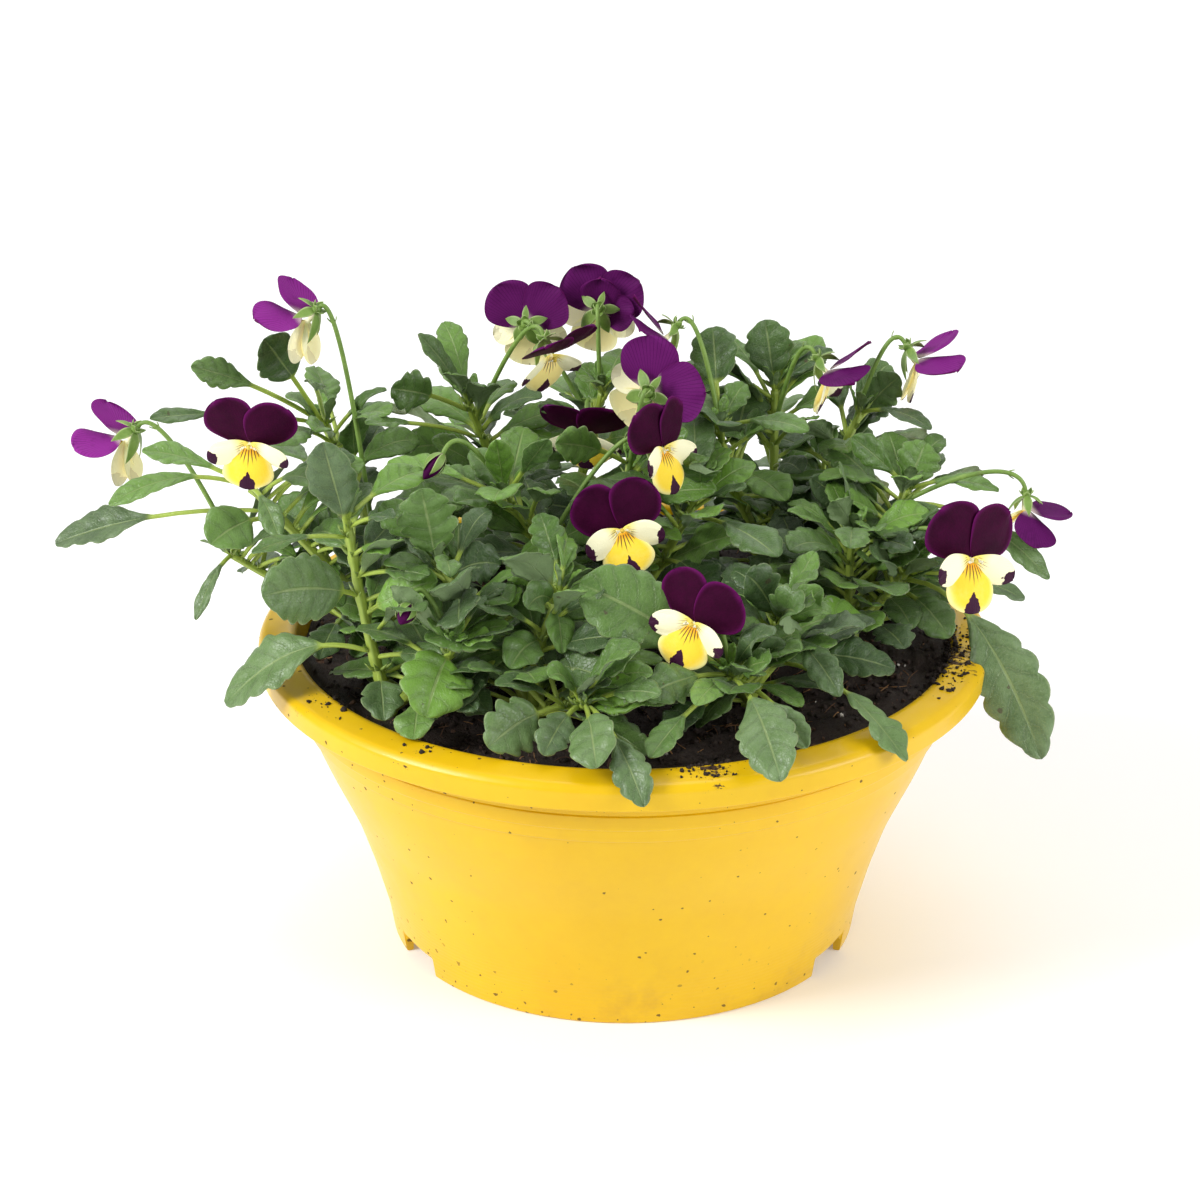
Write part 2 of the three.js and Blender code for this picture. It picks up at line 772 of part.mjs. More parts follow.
// The stalk climbs from its shoot, arches over and comes down to the back of the head.
function stalk(item, depth) {
  const { size = 1 } = item;
  const point = sourceOf(item);
  const out = new THREE.Vector3().setFromMatrixColumn(headMatrix(item), 2).normalize();
  const end = vector(item.head).addScaledVector(out, -depth * size);
  const neck = end.clone().addScaledVector(out, -8).addScaledVector(up, 7);
  const climb = point.clone().lerp(neck, 0.5).addScaledVector(up, 0.1 * point.distanceTo(end));
  const path = new THREE.CubicBezierCurve3(point, climb, neck, end);
  return stem(path, 0.9, 0.8, 4, 8);
}

// Leaves are set one by one and kept clear of everything that isn't their own plant.
const clearance = 0.3;
const scalesTried = [1, 0.9, 0.8, 0.7, 0.6, 0.5];

const clearOf = (solid, others) =>
  others.every((other) => solid.intersect(other).volume() < 1e-6);

function leavesOf(plant, obstacles) {
  const leaves = [];
  for (const shoot of plant.shoots) {
    const path = shootPath(plant, shoot);
    for (const leaf of shoot.leaves) {
      const scale = scalesTried.find((s) => clearOf(leafSolid(path, leaf, s, clearance), obstacles));
      if (scale) leaves.push(leafSolid(path, leaf, scale, 0));
    }
  }
  return leaves;
}

// Assembly.
const rootSpace = joined(Object.values(plants).map((plant) => crown(plant, gap)));
const stemSpace = joined(Object.values(plants).map((plant) => allStems(plant, gap)));
const pieces = new Map([
  ["planter_bowl", { solid: bowl(), colour: colours.bowl, roughness: 0.42 }],
  ["potting_soil", { solid: soil(rootSpace), colour: colours.soil, roughness: 1 }],
]);

flowers.forEach((flower, i) => {
  const name = `flower_${String(i + 1).padStart(2, "0")}`;
  const matrix = headMatrix(flower);
  const { closing = 0 } = flower;
  const green = joined([moved(calyx(), matrix), stalk(flower, calyxDepth)]);
  const cut = largestBody(green.subtract(stemSpace));
  pieces.set(`${name}_stalk`, { solid: cut, colour: colours.stalk, roughness: 0.7 });
  const upper = moved(upperPetals(closing), matrix);
  pieces.set(`${name}_upper_petals`, { solid: upper, colour: colours.purple, roughness: 0.75 });
  const lower = moved(lowerPetals(closing), matrix);
  pieces.set(`${name}_lower_petals`, { solid: lower, colour: colours.cream, roughness: 0.75 });
});

buds.forEach((bud, i) => {
  const matrix = headMatrix(bud);
  const closed = new THREE.SphereGeometry(1, 5, 4).rotateX(Math.PI / 2);
  closed.scale(3, 3, bud.length / 2);
  const whole = joined([moved(solidOf(closed), matrix), stalk(bud, bud.length / 2 - 1)]);
  const cut = largestBody(whole.subtract(stemSpace));
  pieces.set(`bud_${i + 1}`, { solid: cut, colour: colours.stalk, roughness: 0.7 });
});

for (const [name, plant] of Object.entries(plants)) {
  const obstacles = [...pieces.values()].map((piece) => piece.solid);
  const others = Object.values(plants).filter((other) => other !== plant);
  obstacles.push(...others.map((other) => allStems(other, 0)));
  const foliage = largestBody(joined([allStems(plant, 0), ...leavesOf(plant, obstacles)]));
  pieces.set(name, { solid: foliage, colour: colours.foliage, roughness: 0.8 });
}

const planter = new THREE.Group();
planter.name = "viola_planter";
for (const [name, { solid, colour, roughness }] of pieces) {
  const material = new THREE.MeshStandardMaterial({ color: colour, roughness, metalness: 0 });
  const mesh = new THREE.Mesh(geometryOf(solid), material);
  mesh.name = name;
  planter.add(mesh);
}

export default planter;
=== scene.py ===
import itertools
import math

import bpy
import numpy as np
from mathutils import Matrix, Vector


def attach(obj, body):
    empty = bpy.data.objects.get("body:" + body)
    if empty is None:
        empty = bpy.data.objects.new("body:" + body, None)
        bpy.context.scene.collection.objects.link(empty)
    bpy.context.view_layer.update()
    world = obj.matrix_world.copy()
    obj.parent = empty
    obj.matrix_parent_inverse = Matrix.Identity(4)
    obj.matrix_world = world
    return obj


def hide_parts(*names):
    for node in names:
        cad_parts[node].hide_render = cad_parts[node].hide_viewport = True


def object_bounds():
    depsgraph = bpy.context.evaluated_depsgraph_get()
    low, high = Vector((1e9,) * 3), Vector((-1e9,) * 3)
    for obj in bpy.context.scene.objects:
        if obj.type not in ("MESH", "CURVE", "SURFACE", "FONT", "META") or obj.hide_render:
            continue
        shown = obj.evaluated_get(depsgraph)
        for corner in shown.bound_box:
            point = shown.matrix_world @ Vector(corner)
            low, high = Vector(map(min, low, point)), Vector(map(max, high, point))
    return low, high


# A yellow plastic bowl planter full of violas in bloom. Shapes are worked out in millimetres,
# with the front towards -Y, and become metres when a mesh is made.
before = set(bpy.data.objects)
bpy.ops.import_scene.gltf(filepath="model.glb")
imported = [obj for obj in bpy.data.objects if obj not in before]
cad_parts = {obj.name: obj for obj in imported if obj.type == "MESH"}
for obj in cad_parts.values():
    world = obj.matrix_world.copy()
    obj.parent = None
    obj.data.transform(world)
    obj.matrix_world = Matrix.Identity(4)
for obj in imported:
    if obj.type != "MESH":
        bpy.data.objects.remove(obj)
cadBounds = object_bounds()
print("frame loaded")

mm = 0.001


# Numbers that vary over space

def hashed(cells, seed):
    # A repeatable random number from 0 to 1 for each whole-number cell.
    x, y, z = (cells[..., i].astype(np.int64) for i in range(3))
    mixed = (x * 73856093) ^ (y * 19349663) ^ (z * 83492791) ^ (seed * 40503)
    mixed = (mixed ^ (mixed >> 13)) * 1274126177
    return ((mixed ^ (mixed >> 16)) & 0xFFFF) / 0xFFFF


def cloud(points, size, seed=0):
    # Smooth noise from -1 to 1: the random numbers at the eight corners of the cell round a
    # point, blended by the point's place in the cell.
    scaled = np.asarray(points, float) / size
    low = np.floor(scaled)
    part = scaled - low
    part = part * part * (3 - 2 * part)
    total = 0
    for corner in itertools.product((0, 1), repeat=3):
        weight = np.prod(np.where(corner, part, 1 - part), axis=-1)
        total = total + weight * hashed(low + corner, seed)
    return total * 2 - 1


def ramp(value, low, high):
    # 0 below low, 1 above high, and a smooth rise between.
    share = np.clip((value - low) / (high - low), 0, 1)
    return share * share * (3 - 2 * share)


def unit(vectors):
    return vectors / np.maximum(np.linalg.norm(vectors, axis=-1, keepdims=True), 1e-9)


def heading(turn):
    # The level unit vector at an angle in radians.
    return np.array([math.cos(turn), math.sin(turn), 0])


def ringAngles(count):
    # Equal steps once round a ring, in radians.
    return 2 * np.pi * np.arange(count) / count


# Meshes from arrays

def tubeFaces(rows, ring):
    # Rows of ring points, with a single point before the first row and after the last.
    first = 1 + np.arange(rows - 1)[:, None] * ring
    here = first + np.arange(ring)
    beside = first + (np.arange(ring) + 1) % ring
    quads = np.stack([here, beside, beside + ring, here + ring], -1).reshape(-1, 4)
    around = np.arange(ring)
    start = np.stack([np.zeros(ring, int), 1 + (around + 1) % ring, 1 + around], -1)
    lastRow = 1 + (rows - 1) * ring
    pole = np.full(ring, 1 + rows * ring)
    end = np.stack([pole, lastRow + around, lastRow + (around + 1) % ring], -1)
    return quads, np.concatenate([start, end])


def joinParts(parts):
    # Several parts as one: each part's faces count on from the points before it.
    counts = np.cumsum([0] + [len(part["points"]) for part in parts[:-1]])
    whole = {"points": np.concatenate([part["points"] for part in parts])}
    for kind in ("quads", "triangles"):
        whole[kind] = np.concatenate([part[kind] + n for part, n in zip(parts, counts)])
        whole[kind + "Slot"] = np.concatenate(
            [np.full(len(part[kind]), part.get("slot", 0)) for part in parts]
        )
    whole["map"] = np.concatenate([part["map"] for part in parts])
    names = parts[0]["values"]
    whole["values"] = {
        name: np.concatenate([part["values"][name] for part in parts]) for name in names
    }
    return whole


def addPiece(name, part, materials, nodes, sharpAngle=None):
    # A finished piece: its place is in its points, and its object stays at the origin.
    mesh = bpy.data.meshes.new(name)
    quads, triangles = part["quads"], part["triangles"]
    corners = np.concatenate([quads.ravel(), triangles.ravel()]).astype(np.int32)
    quadStarts = np.arange(len(quads)) * 4
    starts = np.concatenate([quadStarts, 4 * len(quads) + np.arange(len(triangles)) * 3])
    mesh.vertices.add(len(part["points"]))
    mesh.loops.add(len(corners))
    mesh.polygons.add(len(starts))
    mesh.vertices.foreach_set("co", (part["points"] * mm).astype(np.float32).ravel())
    mesh.loops.foreach_set("vertex_index", corners)
    mesh.polygons.foreach_set("loop_start", starts.astype(np.int32))
    mesh.polygons.foreach_set("use_smooth", np.ones(len(starts), bool))
    if "quadsSlot" in part:
        slots = np.concatenate([part["quadsSlot"], part["trianglesSlot"]])
        mesh.polygons.foreach_set("material_index", slots.astype(np.int32))
    if "map" in part:
        layer = mesh.uv_layers.new(name="surfaceMap")
        layer.data.foreach_set("uv", part["map"][corners].astype(np.float32).ravel())
    for valueName, numbers in part.get("values", {}).items():
        attribute = mesh.attributes.new(valueName, "FLOAT", "POINT")
        attribute.data.foreach_set("value", numbers.astype(np.float32))
    mesh.update(calc_edges=True)
    for material in materials:
        mesh.materials.append(material)
    if sharpAngle is not None:
        mesh.set_sharp_from_angle(angle=math.radians(sharpAngle))
    piece = bpy.data.objects.new(name, mesh)
    bpy.context.scene.collection.objects.link(piece)
    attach(piece, "root")
    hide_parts(*nodes)
    return piece


# Paths and the shapes carried along them

def curveAlong(controls, t):
    # A Bezier curve with three or four control points, and its direction, at each share t.
    controls = np.asarray(controls, float)
    degree = len(controls) - 1
    t = np.asarray(t, float)
    blend = [math.comb(degree, i) * t**i * (1 - t) ** (degree - i) for i in range(degree + 1)]
    slope = [math.comb(degree - 1, i) * t**i * (1 - t) ** (degree - 1 - i) for i in range(degree)]
    places = np.stack(blend, -1) @ controls
    directions = unit(np.stack(slope, -1) @ np.diff(controls, axis=0))
    return places, directions


def lengthOf(controls):
    # The length of a curve, from forty places along it.
    places, _ = curveAlong(controls, np.linspace(0, 1, 40))
    return np.linalg.norm(np.diff(places, axis=0), axis=1).sum()


def sweptPart(places, directions, facing, across, above, push=None):
    # Rings carried along a path, and closed to a point at both ends. In each ring a point is
    # place + side * across + normal * above + direction * push, where side lies in the sheet,
    # square to the path, and normal stands on the sheet.
    side = unit(np.cross(facing, directions))
    normal = np.cross(directions, side)
    inner = slice(1, -1)
    body = places[inner, None] + side[inner, None] * across[inner][..., None]
    body = body + normal[inner, None] * above[inner][..., None]
    if push is not None:
        body = body + directions[inner, None] * push[inner][..., None]
    points = np.concatenate([places[:1], body.reshape(-1, 3), places[-1:]])
    quads, triangles = tubeFaces(len(places) - 2, across.shape[1])
    return {"points": points, "quads": quads, "triangles": triangles}


def overRings(grid):
    # A grid of rows by ring as one value for each point of a swept part.
    return np.concatenate([grid[0, :1], grid[1:-1].ravel(), grid[-1, :1]])


def lowerFace(angle, shape):
    # 1 on the lower face of a swept sheet and 0 on its upper face.
    return np.broadcast_to(np.sin(angle)[None] < -0.01, shape).astype(float)


def withPlainMap(part):
    # A part with no pattern along it has all its points at one place of the surface map.
    part["map"] = np.full((len(part["points"]), 2), 0.5)
    return part


def tubePart(controls, radius, ring, facing=(0.3, 1, 0.1)):
    # A round stem: radius holds one number for each row along the path.
    rows = len(radius)
    t = np.concatenate([[0], (np.arange(rows - 2) + 0.3) / (rows - 2.4), [1]])
    places, directions = curveAlong(controls, np.clip(t, 0, 1))
    angle = ringAngles(ring)
    across = radius[:, None] * np.cos(angle)
    above = radius[:, None] * np.sin(angle)
    part = sweptPart(places, directions, unit(np.array(facing, float)), across, above)
    around = np.broadcast_to(angle / (2 * np.pi), across.shape)
    along = np.broadcast_to(t[:, None], across.shape)
    part["map"] = np.stack([overRings(around), overRings(along)], -1)
    return part


def withValues(part, **numbers):
    # The same number for every point, unless an array gives them one by one.
    count = len(part["points"])
    part["values"] = {name: np.broadcast_to(number, count) for name, number in numbers.items()}
    return part


# Shader nodes

def tone(red, green, blue):
    # A screen colour, 0 to 255, as the linear colour that a shader takes.
    shares = np.array([red, green, blue]) / 255
    linear = np.where(shares > 0.04045, ((shares + 0.055) / 1.055) ** 2.4, shares / 12.92)
    return (*linear.tolist(), 1.0)


class Tree:
    # Short ways to add and link the nodes of one material or one group.
    def __init__(self, tree):
        self.tree = tree

    def feed(self, socket, value):
        if isinstance(value, bpy.types.NodeSocket):
            self.tree.links.new(value, socket)
        else:
            socket.default_value = value

    def add(self, kind, feeds={}, **settings):
        node = self.tree.nodes.new("ShaderNode" + kind)
        for name, value in settings.items():
            setattr(node, name, value)
        for name, value in feeds.items():
            self.feed(node.inputs[name], value)
        return node

    def sum(self, operation, first, second=0.0, third=0.0):
        node = self.add("Math", operation=operation)
        for socket, value in zip(node.inputs, (first, second, third)):
            self.feed(socket, value)
        return node.outputs[0]

    def step(self, value, low, high, start=0.0, end=1.0):
        # A smooth rise from start to end as the value goes from low to high.
        ranges = {"Value": value, "From Min": low, "From Max": high, "To Min": start, "To Max": end}
        return self.add("MapRange", ranges, interpolation_type="SMOOTHSTEP").outputs[0]

    def blend(self, share, under, over, kind="MIX"):
        node = self.add("Mix", data_type="RGBA", blend_type=kind)
        self.feed(node.inputs[0], share)
        self.feed(node.inputs[6], under)
        self.feed(node.inputs[7], over)
        return node.outputs[2]

    def either(self, *masks):
        total = masks[0]
        for mask in masks[1:]:
            total = self.sum("MAXIMUM", total, mask)
        return total

    def value(self, name):
        return self.add("Attribute", attribute_name=name).outputs["Fac"]

    def place(self):
        return self.add("TexCoord").outputs["Object"]

    def parts(self, vector):
        return self.add("SeparateXYZ", {"Vector": vector}).outputs

    def surfaceMap(self):
        across, along, _ = self.parts(self.add("UVMap", uv_map="surfaceMap").outputs[0])
        return across, along

    def noise(self, place, scale, detail=3.0, roughness=0.55):
        feeds = {"Vector": place, "Scale": scale, "Detail": detail, "Roughness": roughness}
        return self.add("TexNoise", feeds).outputs["Fac"]

    def bump(self, height, strength, distance=0.001):
        feeds = {"Height": height, "Strength": strength, "Distance": distance}
        return self.add("Bump", feeds).outputs["Normal"]

    def group(self, group, **feeds):
        node = self.add("Group", node_tree=group)
        for name, value in feeds.items():
            self.feed(node.inputs[name], value)
        return node.outputs


def newGroup(name, inputs, outputs):
    # A shader group: inputs gives each socket's kind and its usual value.
    group = bpy.data.node_groups.new(name, "ShaderNodeTree")
    for label, (kind, usual) in inputs.items():
        socket = group.interface.new_socket(label, in_out="INPUT", socket_type="NodeSocket" + kind)
        if usual is not None:
            socket.default_value = usual
    for label, kind in outputs.items():
        group.interface.new_socket(label, in_out="OUTPUT", socket_type="NodeSocket" + kind)
    tree = Tree(group)
    given = tree.tree.nodes.new("NodeGroupInput").outputs
    result = tree.tree.nodes.new("NodeGroupOutput").inputs
    return group, tree, given, result


def mottleGroup():
    # Broad cloudy patches with finer ones on them as a mask, and the finer ones alone.
    inputs = {"Place": ("Vector", None), "Scale": ("Float", 60.0), "Contrast": ("Float", 1.0)}
    group, tree, given, result = newGroup("Mottle", inputs, {"Mask": "Float", "Fine": "Float"})
    broad = tree.noise(given["Place"], given["Scale"], 2.0)
    fineScale = tree.sum("MULTIPLY", given["Scale"], 7.0)
    fine = tree.noise(given["Place"], fineScale, 3.0, 0.6)
    both = tree.sum("MULTIPLY_ADD", fine, 0.35, tree.sum("MULTIPLY", broad, 0.65))
    spread = tree.sum("MULTIPLY", tree.sum("SUBTRACT", both, 0.5), given["Contrast"])
    tree.feed(result["Mask"], tree.sum("ADD", spread, 0.5))
    tree.feed(result["Fine"], fine)
    return group


def speckGroup():
    # Scattered specks: a cell holds one where its first random number is below the share, and
    # its second one sets how large it is.
    inputs = {"Place": ("Vector", None), "Scale": ("Float", 200.0), "Share": ("Float", 0.1)}
    inputs["Size"] = ("Float", 0.3)
    group, tree, given, result = newGroup("Specks", inputs, {"Mask": "Float"})
    wobble = tree.noise(given["Place"], tree.sum("MULTIPLY", given["Scale"], 2.0), 2.0)
    cells = tree.add("TexVoronoi", {"Vector": given["Place"], "Scale": given["Scale"]})
    first, second, _ = tree.add("SeparateColor", {"Color": cells.outputs["Color"]}).outputs
    present = tree.sum("LESS_THAN", first, given["Share"])
    varied = tree.sum("MULTIPLY_ADD", tree.sum("POWER", second, 3.0), 1.3, 0.5)
    size = tree.sum("MULTIPLY", given["Size"], tree.sum("MULTIPLY_ADD", wobble, 2.4, -0.2))
    size = tree.sum("MULTIPLY", size, varied)
    near = tree.sum("SUBTRACT", size, cells.outputs["Distance"])
    tree.feed(result["Mask"], tree.sum("MULTIPLY", present, tree.step(near, 0.0, 0.06)))
    return group


def fanGroup():
    # Lines that spread from a petal's foot: across over along tells how far a point is turned
    # from the middle, and lines stand at equal steps of it.
    inputs = {"Across": ("Float", 0.0), "Along": ("Float", 5.0), "Count": ("Float", 8.0)}
    inputs["Width"] = ("Float", 0.2)
    group, tree, given, result = newGroup("Fan of lines", inputs, {"Mask": "Float"})
    turned = tree.sum("DIVIDE", given["Across"], tree.sum("ADD", given["Along"], 3.0))
    turned = tree.sum("MULTIPLY", turned, given["Count"])
    nearest = tree.sum("ROUND", turned)
    off = tree.sum("ABSOLUTE", tree.sum("SUBTRACT", turned, nearest))
    near = tree.sum("SUBTRACT", given["Width"], off)
    tree.feed(result["Mask"], tree.step(near, 0.0, 0.08))
    return group


mottle = mottleGroup()
specks = speckGroup()
fan = fanGroup()


def newMaterial(name, **constants):
    # A material whose unchanging values stand on the shader's own sockets.
    material = bpy.data.materials.new(name)
    material.use_nodes = True
    tree = Tree(material.node_tree)
    shader = material.node_tree.nodes["Principled BSDF"]
    for label, value in constants.items():
        shader.inputs[label.replace("_", " ")].default_value = value
    return material, tree, shader.inputs


print("shared shader groups made")


# The bowl: radii and heights follow the CAD bowl, with rounded corners and finer steps.
bowl = {
    "colour": tone(230, 189, 8),
    "shadeColour": tone(220, 173, 8),
    "roughness": 0.34,
    "facets": 184,
    "notchAzimuths": (90, 210, 330),
    "notchHalfWidth": 11.5,
    "notchHeight": 7.0,
    "notchCorner": 3.0,
    "skirtRadius": 87,
    "rimRadius": 128,
    # Places where soil fell on the rim: azimuth, spread along the rim and number of crumbs.
    "spills": ((212, 9, 60), (-14, 24, 560), (-77, 9, 230), (236, 8, 24)),
}

# Each corner is radius, height and how far back the rounding starts.
bowlCorners = [
    (14, 0, 0.6), (14, 8, 0.8), (85.4, 8, 0.8), (85.4, 0, 0.7), (88, 0, 0.8), (90, 12, 3),
    (95.5, 32, 4), (101.5, 50, 5), (106, 60, 5), (110.5, 69.5, 5), (115, 80, 4), (118.3, 89.2, 0.7),
    (119.6, 89.6, 0.6), (121, 94.8, 0.7), (121.9, 95.2, 0.6), (122.5, 100.5, 0.3),
    (121.9, 100.9, 0.3), (122.6, 101.4, 0.3), (122.9, 104, 1.5),
    (123.6, 114.9, 2), (133.2, 114.2, 1.2), (133.4, 108.6, 0.8), (135.1, 108.9, 0.6),
    (135.5, 116.2, 1), (133.6, 118.4, 1.4), (123.8, 119.9, 1.6), (121.5, 118.6, 1.2),
    (117.4, 95, 3), (112.8, 80, 4), (99.4, 50, 5), (93.4, 32, 4), (88.5, 15, 3), (84, 10.5, 1.5),
]


def roundedProfile(corners, first, last):
    # Straight lines between the corners, each corner replaced by a short curve that starts and
    # ends its own distance away, and long lines cut into steps of 6 to 12 mm.
    places = np.array([first] + [corner[:2] for corner in corners] + [last], float)
    line = [places[:1]]
    for i, (_, _, back) in enumerate(corners, start=1):
        before, here, after = places[i - 1], places[i], places[i + 1]
        start = here + unit(before - here) * min(back, np.linalg.norm(before - here) * 0.45)
        end = here + unit(after - here) * min(back, np.linalg.norm(after - here) * 0.45)
        lead = line[-1][-1]
        steps = max(1, int(np.linalg.norm(start - lead) / 6))
        line.append(lead + (start - lead) * (np.arange(1, steps + 1) / steps)[:, None])
        line.append(curveAlong([start, here, end], np.linspace(0.2, 1, 5))[0])
    lead = line[-1][-1]
    steps = max(1, int(np.linalg.norm(places[-1] - lead) / 6))
    line.append(lead + (places[-1] - lead) * (np.arange(1, steps + 1) / steps)[:, None])
    return np.concatenate(line)


def notchRoof(azimuth):
    # How high the skirt's lower edge stands: the notch's height inside its width, with rounded
    # upper corners, and nothing elsewhere.
    height = np.zeros_like(azimuth)
    for centre in bowl["notchAzimuths"]:
        turned = (azimuth - math.radians(centre) + np.pi) % (2 * np.pi) - np.pi
        inside = bowl["notchHalfWidth"] - np.abs(turned) * bowl["skirtRadius"]
        corner = np.clip(inside, 0, bowl["notchCorner"])
        rounded = np.sqrt(np.maximum(0, corner * (2 * bowl["notchCorner"] - corner)))
        straight = bowl["notchHeight"] - bowl["notchCorner"]
        roof = (straight + rounded) * ramp(inside, -0.05, 0.15)
        height = np.maximum(height, roof)
    return height


def spillStrength(points):
    # Greatest at the middle of each spill on the rim, and falling away from it as a bell curve.
    # A spill of more crumbs is stronger, up to 1.
    azimuth = np.arctan2(points[..., 1], points[..., 0])
    strength = np.zeros(points.shape[:-1])
    for centre, spread, count in bowl["spills"]:
        turned = (azimuth - math.radians(centre) + np.pi) % (2 * np.pi) - np.pi
        much = min(1, 0.74 + count / 800)
        away = turned * bowl["rimRadius"] / spread
        strength = np.maximum(strength, much * np.exp(-(away**2)))
    return strength


def bowlPart():
    # The profile turned about the upright axis. Angles crowd together at the notches' sides, and
    # the early rows, round the skirt's lower edge, rise where a notch is.
    profile = roundedProfile(bowlCorners, (0, 0), (0, 10.5))
    regular = ringAngles(bowl["facets"])
    sides = bowl["notchHalfWidth"] - np.array([-0.15, 0, 0.15, 0.5, 1, 1.7, 2.4, 3])
    offsets = np.concatenate([sides, -sides]) / bowl["skirtRadius"]
    extra = [np.radians(centre) + offsets for centre in bowl["notchAzimuths"]]
    angle = np.sort(np.unique(np.round(np.concatenate([regular, *extra]) % (2 * np.pi), 5)))
    radius, height = profile[1:-1, :1], np.repeat(profile[1:-1, 1:], len(angle), axis=1)
    skirt = (radius > 84.5) & (height < 8) & (np.arange(len(radius)) < 60)[:, None]
    height = np.where(skirt, np.maximum(height, notchRoof(angle)), height)
    warp = 1 + 0.0012 * np.cos(2 * angle + 0.6) * ramp(height, 60, 118)
    body = np.stack([radius * np.cos(angle) * warp, radius * np.sin(angle) * warp, height], -1)
    under, over = [[0, 0, profile[0, 1]]], [[0, 0, profile[-1, 1]]]
    points = np.concatenate([under, body.reshape(-1, 3), over])
    quads, triangles = tubeFaces(len(profile) - 2, len(angle))
    onRim = ramp(points[:, 2], 104, 114)
    inward = ramp(np.hypot(points[:, 0], points[:, 1]), 132, 121)
    dirt = spillStrength(points) * onRim * (0.8 + 0.32 * inward)
    return {"points": points, "quads": quads, "triangles": triangles, "values": {"dirt": dirt}}


def bowlPlastic():
    # Satin yellow plastic: faint flow marks, fine moulding rings, dust and splashed soil.
    material, tree, shader = newMaterial("Yellow plastic", Coat_Weight=0.07, Specular_IOR_Level=0.36)
    place = tree.place()
    patches = tree.group(mottle, Place=place, Scale=26.0, Contrast=1.6)
    colour = tree.blend(patches["Mask"], bowl["shadeColour"], bowl["colour"])
    x, _, z = tree.parts(place)
    low = tree.step(z, 0.035, 0.0, 0.0, 1.0)
    left = tree.step(x, -0.03, -0.1)
    share = tree.sum("MULTIPLY_ADD", left, 0.17, tree.sum("MULTIPLY_ADD", low, 0.12, 0.08))
    large = tree.group(specks, Place=place, Scale=150.0, Share=share, Size=0.085)["Mask"]
    small = tree.group(specks, Place=place, Scale=400.0, Share=share, Size=0.17)["Mask"]
    lowSpecks = tree.group(specks, Place=place, Scale=360.0, Share=0.24, Size=0.21)["Mask"]
    lowSpecks = tree.sum("MULTIPLY", lowSpecks, low)
    dusty = tree.noise(place, 38.0, 4.0, 0.7)
    film = tree.sum("MULTIPLY", tree.step(dusty, 0.52, 0.8), tree.sum("MULTIPLY_ADD", low, 0.3, 0.1))
    colour = tree.blend(film, colour, tone(176, 128, 52))
    stretched = tree.add("Mapping", {"Vector": place, "Scale": (0.4, 1.0, 1.0)}).outputs[0]
    clumps = tree.noise(stretched, 420.0, 5.0, 0.75)
    smear = tree.sum("MULTIPLY_ADD", tree.value("dirt"), 0.39, tree.sum("SUBTRACT", clumps, 0.84))
    smear = tree.step(smear, 0.0, 0.06)
    dots = tree.sum("MULTIPLY", tree.either(large, small, lowSpecks), 0.85)
    soiled = tree.either(dots, smear)
    tree.feed(shader["Base Color"], tree.blend(soiled, colour, tone(70, 47, 28)))
    wave = {"Vector": place, "Scale": 190.0, "Distortion": 0.4}
    rings = tree.add("TexWave", wave, bands_direction="Z")
    ringStrength = tree.step(z, 0.03, 0.012, 0.02, 0.35)
    rings = tree.sum("MULTIPLY", rings.outputs["Fac"], ringStrength)
    grain = tree.noise(place, 1500.0, 2.0)
    height = tree.sum("MULTIPLY_ADD", grain, 0.12, rings)
    height = tree.sum("MULTIPLY_ADD", soiled, 0.8, height)
    tree.feed(shader["Normal"], tree.bump(height, 0.25, 0.0004))
    rough = tree.sum("MULTIPLY_ADD", patches["Fine"], 0.14, bowl["roughness"] - 0.07)
    tree.feed(shader["Roughness"], tree.sum("MULTIPLY_ADD", soiled, 0.5, rough))
    return material


addPiece("planterBowl", bowlPart(), [bowlPlastic()], ["planter_bowl"], sharpAngle=50)
print("bowl made")


# The soil, with how far from the middle the crumbs, the fibres and the white grains lie. The white
# grains are perlite and also painted glints of light on wet bark.
soilBed = {
    "dark": tone(30, 21, 16),
    "light": tone(104, 74, 54),
    "underside": 10.85,
    "wallGap": 0.35,
    "rows": 80,
    "facets": 180,
    "crumbs": 4900,
    "crumbReach": 117,
    "fibres": 400,
    "fibreReach": 114,
    "perlite": 60,
    "perliteReach": 112,
    "seed": 11,
}

grainCorners = 12

# Radii and heights of the bowl's inner wall, and of the top of its rim.
wallRadius, wallHeight = (84, 88.5, 93.4, 99.4, 112.8, 117.4, 121.5), (10.5, 15, 32, 50, 80, 95, 119.2)
rimTopRadius, rimTopHeight = (119, 121.5, 123.8, 133.6, 136), (116.5, 118.9, 119.9, 118.4, 117)


def soilHeight(x, y):
    # Nearly level with the rim on the right, lower at the front left, with long swells.
    slope = 115 + 0.022 * x + 0.008 * y
    return slope + 0.9 * np.sin(x / 17 + 1) * np.cos(y / 21) + 0.5 * np.sin(y / 9 + x / 13)


def soilTop(x, y):
    # The swells with clods and grit on them.
    place = np.stack([x, y, np.zeros_like(x)], -1)
    clods = 1.5 * cloud(place, 11, 3) + 1.1 * cloud(place, 5.2, 4)
    grit = 0.7 * np.abs(cloud(place, 2.6, 5)) + 0.35 * cloud(place, 1.2, 6)
    return soilHeight(x, y) + clods + grit - 0.6


def flatMap(points):
    # The surface map of soil and crumbs, seen from above.
    return points[:, :2] * 0.004


